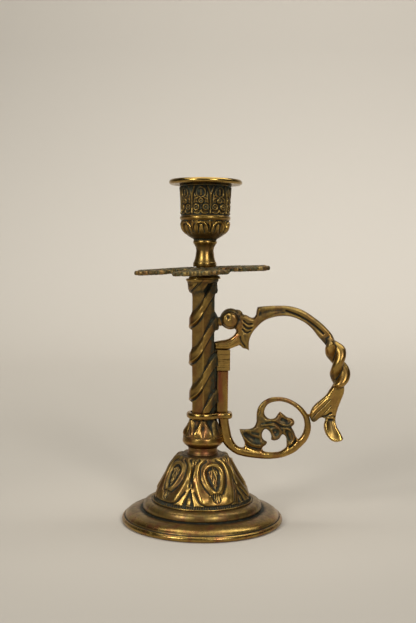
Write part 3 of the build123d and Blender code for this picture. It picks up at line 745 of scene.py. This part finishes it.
finish_piece(lathe("candle_cup_cast", cup_section, 400, cup_relief), cup_brass, "stand", "candle_socket",
             slot="patinated_brass", grime_and_shade=cup_patina_and_shade)

nozzle_section = outline(
    [(0.02, 156.9), (11.75, 156.9)], [(11.75, 176.9), (11.95, 177.3)], [(17.6, 177.35), (18.6, 177.6)],
    [(19.08, 178.1), (19.1, 178.9), (18.7, 179.5)], [(18.2, 179.85), (16.5, 179.95), (12.6, 180)], [(11.5, 179.8),
    (11.1, 179.1)], [(11.1, 157.7)], [(0.02, 157.7)], step=0.3)
finish_piece(lathe("nozzle_rim", nozzle_section, 240), polished, "nozzle", "nozzle", slot="polished_brass")

# ------------ handle: lower casting
SCROLL_LOOP = outline(
    [(7.1, 80.2), (7.1, 91.4)], [(5.2, 91.4)], [(5.2, 58.6)], [(7, 57.6)], [(7.8, 54.7)], [(8.6, 49.6), (9.5, 44.4),
    (10.6, 41.4)], [(13, 38.6), (17.5, 35.4), (23, 33.9), (29.5, 33.1), (36, 32.9), (42.6, 33.9), (48.6, 36.5),
    (52.4, 39.8), (55.4, 43.3), (57.1, 47.6), (57.3, 51.4), (56.3, 55.6), (54.2, 58.9), (51.6, 61.6), (48.3, 63.8),
    (44.2, 65.6), (39.6, 66.2), (35.4, 65.7), (32, 64), (29.6, 61.4), (28.4, 58), (28.3, 52.8)], [(27.2, 50.2),
    (24.9, 49), (22, 48.7)], [(19.3, 48.9)], [(19.8, 46.9), (21.2, 43.8), (22.2, 41.2), (21.9, 39.1)], [(19.6, 39.2),
    (17.2, 41.2), (15.4, 44.6), (14.4, 48.8), (13.6, 53.2), (13.1, 58.6)], [(13.1, 80.2)], step=0.45)
SCROLL_UPPER = outline(
    [(34.2, 54.9), (32.8, 56.4), (32.5, 58.5), (33.4, 61), (35.6, 62.9), (40.2, 63.8), (44, 63.1), (46.9, 61.8),
    (49.6, 59.8), (51.9, 57.2), (53.3, 54.6), (53.8, 51.2), (53.1, 47.4), (51.7, 44.9), (50.4, 43.7)], [(49.4, 45.2),
    (48.6, 47.2), (47.8, 48.8)], [(46.9, 50.2)], [(48.3, 51.5), (48.5, 53.3), (47.2, 54.9)], [(44.8, 55.4),
    (42.6, 57), (40.7, 58.5)], [(39.5, 56.9), (38.2, 55.1), (36, 54.4), (34.2, 54.9)], step=0.45)
SCROLL_LOWER = outline(
    [(36.2, 43.3), (36.2, 45.5), (35.4, 47.4), (34.3, 48.4), (33.2, 48.9), (32.1, 48), (31.4, 46.3), (31.6, 44.4),
    (32.5, 43.1), (33.6, 42.5), (34.1, 42.1)], [(34.1, 41.4), (33.4, 40.4), (32, 39.3), (31.5, 38.2)], [(32.6, 37.1),
    (35.3, 36.6), (38.5, 36.7), (41.1, 37.2), (43.5, 38.7), (44.4, 39.7)], [(44.4, 42.1), (44.2, 44.2), (43.4, 45.6),
    (42.3, 46.2)], [(41.5, 45.3), (40.7, 43.9), (39.2, 43), (37.3, 42.8), (36.2, 43.3)], step=0.4)

SCROLL_MARKS = [
    (1.7, -1.15, (22.9, 46.1), (25.5, 44.8), (28.6, 43.2)),
    (1.2, -0.7, (26, 46.6), (29, 46.2)),
    (0.5, 0.85, (20, 48), (21.3, 45.2), (24, 42.6), (27.2, 40.8), (30.4, 40.3)),
    (0.4, 0.45, (20, 48.7), (22.8, 48.3), (26, 48.6), (28.6, 49.8)),
    (0.8, 0.9, (31.8, 41.9), (32.3, 42.2)),
    (0.8, -1.35, (22.9, 40.6), (25.5, 39.3), (28.5, 38.4), (31, 38.3)),
    (0.45, 0.75, (31.2, 51.2), (35.4, 51.6), (39.2, 50.6), (41.4, 47.9), (40.4, 45), (37.3, 44.2)),
    (0.45, -0.9, (33.3, 52.4), (37.5, 52.9), (40.9, 51), (43.4, 50.2)),
    (0.5, 0.75, (41.4, 51.9), (43.9, 51.3), (46, 51.8), (47.4, 53.2)),
    (0.9, -0.95, (41.9, 54.4), (44, 53.6)),
    (0.4, 0.4, (38, 55), (40.5, 57.4), (43.3, 55.6), (46.2, 54.4)),
    (0.45, 0.65, (42.9, 50), (46, 48.9), (48, 46.3), (48.1, 43.6), (46.4, 41.2)),
    (0.9, -1.05, (44.3, 47.6), (45.4, 43.8)),
    (0.65, 0.8, (44.9, 41.4), (45.4, 41.8)),
    (0.6, -1.4, (49.6, 44.6), (48.6, 42.2), (46.2, 39.7)),
    (0.4, 0.3, (14.8, 43.6), (16.6, 40.1), (19.8, 37.9), (25.1, 36.7), (31.4, 35.9), (38.3, 35.8), (43.6, 37.1),
     (47.8, 40)),
    (0.45, -0.4, (29.9, 57), (30.9, 60.6), (33.6, 63.6), (38.6, 65), (44, 64.4), (49, 61.8)),
]


def scroll_height(x, z, d, side):
    bar = ease(54, 60, z) * ease(15, 13.6, x)
    edge = fillet(d, 1.7 - 1.2 * bar) * (1 - 0.35 * ease(7.3, 6.9, x))
    relief = strokes(x, z, SCROLL_MARKS)
    rose = np.hypot(x - 38.2, z - 47.5)
    relief += 0.55 * bump(rose - 2.4, 0.45) - 0.9 * bump(rose, 1.25) + 0.7 * bump(rose, 0.5)
    return np.maximum(1.95 * edge + relief * ease(0, 0.8, d) * (1 - bar), 0.25 * edge)


def scroll_patina_and_shade(x, y, z):
    # dark patina on the leaf and the top strip
    leaf = ease(1.15, 0.8, np.hypot((x - 34.5) / 15.5, (z - 48) / 9.5)) * ease(37.6, 38.6, z)
    top = ease(58, 63, z) * ease(27, 30, x)
    # painted shade along the bar's left edge beside the column, and darker where the tail meets the scroll
    joint = ease(7.5, 7.1, x) + 0.35 * ease(8.2, 7.4, x) * ease(58, 60, z)
    joint = joint + 0.95 * bump(np.hypot(x - 56.8, z - 54.2), 1.9)
    return 0.6 * leaf + 0.3 * top + joint


def scroll_stain(x, y, z):
    return ease(60, 66, z) * (0.45 + 0.55 * bump(x - 8.8, 0.9))


scroll = cast_plate("handle_scroll_cast", [SCROLL_LOOP, SCROLL_UPPER, SCROLL_LOWER], scroll_height, spacing=0.4)
scroll_brass = brass("scroll_brass", (0.48, 0.32, 0.1), (0.24, 0.145, 0.047), tarnish=0.75, shine=0.19, verdigris=0.8,
                     patina=1.2, ruddy=0.5, green=(0.05, 0.06, 0.03))
finish_piece(remesh(scroll, 2), scroll_brass, "stand", "handle_scroll", slot="worn_brass", grime_and_shade=scroll_patina_and_shade,
             stain=scroll_stain)

# ------------ handle: upper casting
ARM_LOOP = np.vstack([      # with a small step where the neck meets the head
    chain([(5.4, 91), (5.4, 95.2)], [(8.6, 95.9), (11.6, 96.4), (14.2, 97.6), (16.2, 99.5), (17, 101.4), (17, 104)],
          step=0.45),
    chain([(17.2, 104), (16.4, 110.2)], [(20.4, 109.8), (22.4, 109.4), (24, 108.5), (26, 108.2), (27.2, 109.6)],
          [(27.5, 111.8), (27.9, 113.7)], [(30.2, 114.1), (36, 114.5), (42.6, 114.6), (47.6, 113.9), (52.7, 112),
          (57.9, 108.7), (62.6, 105), (66.4, 101.2), (68.2, 98.6), (69.2, 96)], [(64.4, 93.8)], [(62.2, 96.3),
          (60, 98.7), (57.2, 102.2), (53.8, 105.2), (49.4, 107.6), (45.6, 108.8), (42, 109.1), (37.4, 108.6),
          (32.2, 106.8), (28.2, 103.4), (25.4, 99.8), (24, 96.2), (23.8, 93.4), (23.9, 90.4)], [(22.6, 91.4),
          (20.6, 91.9), (18.9, 93.4)], [(16, 92.3), (13.6, 91.3), (12.9, 91)], [(5.4, 91)], step=0.45)])
ARM_MARKS = [
    (0.5, 0.45, (25, 95.6), (26.2, 99.6), (28.6, 103.2), (31.9, 106.3), (36, 108.6), (40.6, 109.9), (45.6, 109.6),
     (50.6, 107.3), (55.2, 104), (59, 100.2), (62.6, 96.2)),
    (0.6, -0.35, (27.2, 101), (31, 106.9), (35.6, 109.8), (40.6, 111.2), (46, 110.8), (51.6, 108.3)),
    (1.3, -0.4, (29.4, 110.4), (34.5, 112), (40, 112.2)),
    (0.5, -1.2, (43, 112), (47.7, 110.4), (51.9, 108.4), (56.1, 105.8), (60.2, 102.6), (62.8, 100.2)),
    (0.5, 0.6, (27.9, 113.4), (28.3, 111.5), (27.9, 109.2)),
    (0.36, -0.8, (20.7, 106.7), (22.8, 105), (25.2, 105.1)),
    (0.36, -0.8, (20.6, 104.3), (22.8, 102.6), (25.1, 102.9)),
    (0.36, -0.8, (20.2, 102), (22.3, 100.2), (24.4, 101.2)),
    (0.42, 0.45, (20.9, 105.4), (23, 103.8), (25.2, 104)),
    (0.42, 0.45, (20.6, 103), (22.6, 101.4), (24.8, 102)),
    (0.5, 0.4, (20.3, 99.2), (21.2, 95.8), (23, 92.2)),
    (0.42, -0.55, (18.9, 98.2), (19.8, 95.4), (21.4, 93.2)),
    (0.5, 0.35, (8.6, 93.6), (12.4, 93.9), (16.2, 95.9), (18.6, 99)),
]


def arm_height(x, z, d, side):
    fin = ease(95.5, 91, z) * ease(18, 20, x) * ease(30, 26, x)
    neck = bump(np.hypot(x - 21.5, z - 104.5), 6.5)
    body = 2.4 + 0.7 * neck - 1.2 * fin
    edge = fillet(d, 1.35)
    return np.maximum(body * edge + strokes(x, z, ARM_MARKS) * ease(0, 0.9, d), 0.3 * edge)


TAIL_LOOP = outline(
    [(69.2, 76), (68.6, 73.4), (66.8, 70.4), (65, 67.6), (62.4, 65.2), (59.8, 63), (58, 61), (56.9, 58.8)],
    [(56.4, 57), (56.7, 55), (57.6, 53.3)], [(58.9, 52.9), (60.4, 53.7)], [(62.2, 55.2), (63.6, 55.3), (64.9, 54.6)],
    [(64, 51.8), (64.2, 48.8), (65.6, 45.8), (67.9, 43.5), (70.4, 42.75), (73.2, 43.3), (74.4, 44.6)], [(73, 47.4),
    (71, 50.8), (70.3, 54), (70.6, 57), (71.5, 60.5), (72.9, 64.3), (74.3, 68), (74.7, 70.4), (74.6, 73), (75.2, 76)],
    step=0.4)
TAIL_MARKS = [
    (0.36, -0.42, (67, 65.4), (64.4, 62.4), (60.7, 58.7), (57.9, 55.6)),
    (0.36, -0.42, (67.4, 62), (65.4, 59.6), (63.2, 57)),
    (0.36, -0.35, (65.6, 66.4), (62.2, 63.2), (58.2, 59.4)),
    (0.7, -1.1, (63.4, 56), (65.4, 56.6), (67.4, 58)),
    (0.42, -0.7, (65, 55.6), (68.2, 56.5), (71, 56.3)),
    (0.5, 0.5, (65.2, 54.6), (64.8, 51.6), (65.5, 47.6), (67.8, 44.6), (70.4, 43.6), (73.6, 44.2)),
    (0.4, 0.3, (70.7, 55), (70.9, 51), (72.4, 47), (73.8, 44.8)),
]


def tail_height(x, z, d, side):
    body = 2.25 + 0.5 * ease(66, 74, z)
    trough = bump(x - np.interp(z, [44, 54.5], [69.6, 67.4]), 2.2)
    dish = ease(55.4, 54.4, z) * np.interp(z, [44, 54.4], [0, 1.9]) * trough * (side < 0)
    edge = fillet(d, 1.9)
    return np.maximum((body - dish) * edge + strokes(x, z, TAIL_MARKS) * ease(0, 0.8, d), 0.3 * edge)


def lean(xyz):
    """The fluke's tip stands forward of the rest of the tail."""
    xyz[:, 1] -= 0.2 * np.clip(54.5 - xyz[:, 2], 0, 20) * ease(62.8, 64.2, xyz[:, 0])
    return xyz


def rope_section(t, phi):
    """Two round strands wound right hand: half a turn in 11 mm."""
    z = 97.6 - 26.6 * t
    turn = math.radians(90) + np.radians((90 - z) / 11 * 180)
    strand, offset = 3.15, 2.3
    c = np.cos(phi - turn)
    r = offset * np.abs(c) + np.sqrt(np.maximum(strand * strand - offset * offset * (1 - c * c), 0.01))
    late = 1 - 0.38 * ease(0.31, 0.12, t) * np.maximum(np.sin(phi), 0)      # the outer bulge starts lower down
    return r * late * (0.72 + 0.28 * ease(0, 0.16, t)) * (1 - 0.38 * ease(0.9, 1, t))


def eye(obj):
    """Ball set in a collar, with the small hollow of the eye, on both cheeks of the head."""
    co = vectors(obj.data.vertices) / MM
    x, y, z = co.T
    d = np.hypot(x - 13.5, z - 106.9)
    h = 0.55 * ease(4.2, 3.5, d) - 0.6 * bump(d - 4.4, 0.36)
    h -= 0.9 * bump(np.hypot((x - 12.4) / 0.9, (z - 108.4) / 1.4), 1)
    h -= 0.25 * ease(3.6, 1, d)
    y += np.sign(y) * h * ease(1, 2.5, np.abs(y))
    obj.data.vertices.foreach_set("co", (co * MM).ravel())


def upper_patina_and_shade(x, y, z):
    head_top = ease(4, 4.6, np.hypot(x - 13.5, z - 106.9)) * ease(19.6, 18.6, x) * ease(104, 108, z)
    # painted shade under the end of the arm, on the lower sides of the rope's bulges and under the tail's edge above
    # the fluke, and darker where the tail meets the scroll
    shaded_spots = ease(3.2, 1.6, np.hypot((x - 63.2) / 1.3, z - 96))
    for place in ((65.4, 86.4, 1.9, 2.2), (67.6, 76.8, 1.7, 2.3), (64.6, 56.4, 2.4, 0.9), (58.6, 54.2, 1.9, 1.9)):
        shaded_spots = shaded_spots + 1.1 * spot(x, z, *place)
    cheek = ease(5.6, 5, np.hypot(x - 13.8, z - 107.1))
    arm = 0.42 * ease(24, 30, x) * ease(66, 60, x) * ease(96, 99, z)
    return arm + 0.6 * head_top + 0.2 * cheek + 0.8 * shaded_spots + 0.35 * ease(27, 24, x) * ease(19, 21, x)


def upper_stain(x, y, z):
    """Copper red where the beak rubs and along the jaw."""
    beak = bump(np.hypot(x - 8, z - 105.6), 2.2)
    jaw = ease(19, 17, x) * ease(100.5, 99, z) * bump(z - np.interp(x, [6, 12, 17], [94.6, 95.2, 98.4]), 0.9)
    return 0.7 * beak + 0.55 * jaw


head = ball("head", (13.9, 0, 107.3), (5.6, 5.1, 5.6), cuts=5)
eye(head)
rope_line = np.insert(smooth([(65.2, 97.8), (66.9, 95.6), (69.7, 90.4), (71.2, 84.4), (72.2, 79), (71.9, 73.6),
                              (71.7, 71.2)], 0.3), 1, 0, axis=1)
upper = join("handle_upper_cast", [
    cast_plate("arm", [ARM_LOOP], arm_height, spacing=0.45),
    cast_plate("tail", [TAIL_LOOP], tail_height, spacing=0.4, place=lean),
    tube("rope", rope_line, rope_section, 72),
    head,
    ball("beak", (8.4, 0, 105.9), (4.4, 2.4, 2.4)),
    ball("brow", (17.2, 0, 109.4), (3.3, 3, 2.9)),
    ball("gill", (18.2, 0, 105), (2.6, 3.3, 4.4)),
])
upper_brass = brass("upper_brass", (0.49, 0.33, 0.105), (0.24, 0.15, 0.048), tarnish=0.76, shine=0.21, ruddy=0.35)
finish_piece(remesh(upper, 4), upper_brass, "stand", "handle_upper", slot="worn_brass", grime_and_shade=upper_patina_and_shade,
             stain=upper_stain)

# ------------ handle collar
half_strap = [(-8, 0), (-6.9, -4.1), (-4, -6.95), (0, -8), (4, -6.9), (7.2, -4.6), (10.4, -3.9), (13.6, -3.7),
              (14.5, -2.6), (14.6, 0)]
collar_path = smooth(half_strap + [(x, -y) for x, y in half_strap[-2:0:-1]], 0.3, closed=True)


def ring_mesh(name, path, profile):
    """Closed profile (outward, z) swept round a closed path on the XY plane."""
    verts = [(x + ox * o, y + oy * o, z) for (x, y), (ox, oy) in zip(path, outward(path)) for o, z in profile]
    return drop_loose(add_object(name, verts, grid_faces(len(path), len(profile), True)))


strap = ring_mesh("handle_collar_cast", collar_path, outline(
    [(-1.2, 54.7), (0.1, 54.75)], [(0.62, 55.2), (0.85, 56.3), (0.62, 57.4), (0.1, 57.85)], [(-1.2, 57.9)], step=0.2))
finish_piece(strap, handled, "stand", "handle_collar", slot="worn_brass")

# ------------ drip pan
PAN_MID_Z, PAN_LEAN, PAN_SHIFT = 133.1, math.radians(2.4), 1.1
LOBES, PAN_FRONT = 5, -92         # PAN_FRONT is the azimuth of the lobe in front, in degrees
HALF_LOBE = [
    (10.6, 7.7), (12.3, 7.9), (14.4, 9), (15.6, 8.3), (17, 9.9), (19, 12.6), (20.4, 11.9), (21.8, 13.2), (23.5, 15),
    (25, 14.1), (26.4, 14.5), (28, 14.2), (29.3, 12.8), (30.8, 11.9), (32.2, 10.2), (33.2, 8.6), (34.8, 6.6),
    (35.9, 3.4), (36.5, 0)]


def pan_loop():
    points = []
    for k in range(LOBES):
        turn = math.radians(PAN_FRONT + 360 / LOBES * k)
        for u, v in [(u, -v) for u, v in HALF_LOBE] + HALF_LOBE[-2::-1]:
            points.append((u * math.cos(turn) - v * math.sin(turn), u * math.sin(turn) + v * math.cos(turn)))
    spaced = [p for p, q in zip(points, points[1:] + points[:1]) if math.dist(p, q) > 0.5]
    line = smooth(spaced, 0.4, closed=True)
    run = np.cumsum(np.linalg.norm(np.diff(line, axis=0, prepend=line[:1]), axis=1))
    bite = 0.42 * np.cos(run * 2 * math.pi / 3.7) - 0.42
    return line + bite[:, None] * outward(line) - [PAN_SHIFT, 0]


def pan_local(x, y):
    """Position along and across the nearest lobe."""
    a = sector(np.arctan2(y, x + PAN_SHIFT), LOBES, math.radians(PAN_FRONT))
    r = np.hypot(x + PAN_SHIFT, y)
    return r * np.cos(a), np.abs(r * np.sin(a)), r


PAN_MARKS = [
    (0.7, 0.55, (9, 0), (20, 0), (34, 0)),
    (0.5, 0.42, (13, 0), (17, 5), (18.6, 11)),
    (0.5, 0.42, (18, 0), (22.6, 5), (24.4, 11)),
    (0.5, 0.38, (23.5, 0), (27.6, 4.2), (29.6, 8.6)),
    (0.45, 0.34, (28.5, 0), (31.6, 2.6), (33.2, 5.2)),
    (0.8, -0.45, (14.5, 10.4), (11.5, 8.6), (8.5, 6.2)),
    (0.6, -0.35, (15.6, 3), (18.9, 7.6), (20.2, 11.8)),
    (0.6, -0.35, (20.6, 2.6), (24.6, 7), (26, 10.6)),
    (0.5, -0.3, (25.8, 2.2), (29.4, 5.6), (31, 7.8)),
]


def pan_height(x, y, d, side):
    u, v, r = pan_local(x, y)
    rib = strokes(u, v, PAN_MARKS) * ease(7.2, 9.5, r) * ease(0, 1.2, d)
    body = 1.15 - 0.3 * ease(1.6, 0.4, d) * (0.5 + 0.5 * np.cos(5 * (u - v)))
    edge = fillet(d, 0.5)
    return np.maximum((body + rib * (1 if side < 0 else 0.5)) * edge, 0.3 * edge)


def pan_place(xyz):
    x, t, y = xyz.T
    _, v, r = pan_local(x, y)
    out = ease(8, 34, r)
    angle = np.arctan2(y, x)
    sag = 0.25 * out * (np.cos(angle) - 1.2)
    sag = sag - 1 * ease(9, 17, r) * ease(42, 34, np.degrees(np.abs(angle - math.radians(PAN_FRONT))))
    sag = sag + 0.12 * out * np.cos(v * 1.3) * ease(6, 12, v)
    local = np.stack([x, y, -t + sag])
    c, s = math.cos(PAN_LEAN), math.sin(PAN_LEAN)
    return np.stack([local[0] * c - local[2] * s, local[1], local[0] * s + local[2] * c + PAN_MID_Z], axis=1)


def pan_grime(x, y, z):
    u, v, r = pan_local(x, y)
    return 0.26 + 0.3 * ease(16, 9, r) + 0.85 * ease(-0.25, 0.15, np.cos(1.7 * u + 2.1 * v))


hole = 4.8 * np.stack([np.cos(around(64)), np.sin(around(64))], axis=1)
pan = cast_plate("drip_pan_cast", [pan_loop(), hole], pan_height, spacing=0.55, rows=(0.08, 0.22, 0.5), place=pan_place)
finish_piece(pan, tarnished, "pan", "drip_pan", slot="dark_brass", grime_and_shade=pan_grime)

# ------------ small parts that keep their CAD shape
for name, material in (("handle_ferrule", coppery), ("beak_pin", coppery), ("tail_pin", handled),
                       ("tie_rod", iron), ("foot_washer", iron), ("tie_nut", iron)):
    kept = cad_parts[name]
    for k in range(len(kept.material_slots)):
        kept.material_slots[k].material = material
    if not kept.material_slots:
        kept.data.materials.append(material)


# ------------ studio
def paper_with_painted_light():
    """Pale seamless paper with painted light: greyer underfoot than up the wall, darker higher up the wall, lighter to
    the right, and a painted pool of light round the foot.
    """
    material, tree, shader, where, (blend, _, _, add, _, mul) = new_material("paper_with_painted_light")
    x, y, z = node(tree, "SeparateXYZ", where).outputs

    def spread(value, low, high, start=0, end=1, kind="LINEAR"):
        made = node(tree, "MapRange", value, low, high, start, end)
        made.interpolation_type = kind
        return made.outputs[0]

    # painted shade: the wall darker higher up
    wall = blend(spread(z, 0, 0.56), (0.785, 0.724, 0.624), (0.6, 0.553, 0.476))
    # painted shade: the floor greyer than the wall
    colour = blend(spread(y, 0.15, 1.36, kind="SMOOTHSTEP"), (0.495, 0.451, 0.378), wall)
    # painted light: lighter to the right
    colour = blend(spread(x, -0.5, 0.5), colour, blend(1, colour, (1.1, 1.1, 1.11), "MULTIPLY"))
    # painted pool of light round the foot, lightening its shadows
    reach = maths(tree, "SQRT", add(mul(x, x), mul(y, y)), 0)
    near = spread(reach, 0.04, 0.17, 1, 0, "SMOOTHSTEP")
    colour = blend(near, colour, blend(1, colour, (1.16, 1.155, 1.15), "MULTIPLY"))
    feed(tree, shader.inputs["Base Color"], colour)
    feed(tree, shader.inputs["Roughness"], 0.9)
    return material


def sweep_floor():
    """Floor that curves up into a back wall."""
    near, far, curve, half, top = -2600, 700, 700, 3200, 3200
    line = [(near, 0), (far, 0)] + [(far + curve * math.sin(a), curve - curve * math.cos(a))
                                    for a in np.linspace(0.05, math.pi / 2, 24)] + [(far + curve, top)]
    verts = [(x, y, z) for y, z in line for x in (-half, half)]
    faces = [[2 * k, 2 * k + 1, 2 * k + 3, 2 * k + 2] for k in range(len(line) - 1)]
    obj = add_object("studio_sweep", verts, faces)
    obj.data.shade_smooth()
    obj.data.materials.append(paper_with_painted_light())


def lamp(name, place, aim, size, power):
    light = bpy.data.lights.new(name, "AREA")
    light.shape = "RECTANGLE"
    light.size, light.size_y = size
    light.energy = power
    obj = bpy.data.objects.new(name, light)
    bpy.context.scene.collection.objects.link(obj)
    obj.location = place
    obj.rotation_euler = (Vector(aim) - Vector(place)).to_track_quat("-Z", "Y").to_euler()


sweep_floor()
lamp("softbox_left", (-0.85, -0.95, 0.75), (0, 0, 0.09), (0.36, 0.55), 8.5)
lamp("softbox_right", (0.55, -1.1, 0.7), (0, 0, 0.09), (0.3, 0.45), 6.2)
lamp("top", (0.15, -0.05, 1.3), (0.05, 0, 0), (1.5, 1.2), 6.4)
lamp("wall", (0.25, 0.2, 1.15), (0.15, 1.4, 0.25), (2, 0.6), 11.5)

world = bpy.data.worlds.new("studio")
bpy.context.scene.world = world
world.use_nodes = True
tree = world.node_tree
backdrop = tree.nodes["Background"]
backdrop.inputs["Color"].default_value = (0.62, 0.57, 0.49, 1)
backdrop.inputs["Strength"].default_value = 0.35
dim = node(tree, "Background", Color=(0.3, 0.27, 0.23, 1), Strength=0.1)
seen = node(tree, "LightPath").outputs["Is Camera Ray"]
choose = node(tree, "MixShader", seen, dim.outputs[0], backdrop.outputs[0])
feed(tree, tree.nodes["World Output"].inputs["Surface"], choose.outputs[0])

camera = bpy.data.cameras.new("camera")
camera.sensor_fit = "VERTICAL"
camera.sensor_height = 36
camera.lens = 53.37
camera.clip_start = 0.01
camera_object = bpy.data.objects.new("camera", camera)
bpy.context.scene.collection.objects.link(camera_object)
right, up = Vector((0.99993, -0.00341, 0.01088)), Vector((-0.01067, 0.05758, 0.99828))
ahead = Vector((0.00404, 0.99833, -0.05754))
camera_object.matrix_world = Matrix.Translation((0, -0.486, 0.1391)) @ Matrix(
    (right, up, -ahead)).transposed().to_4x4()
bpy.context.scene.camera = camera_object
bpy.context.scene.view_settings.view_transform = "Standard"
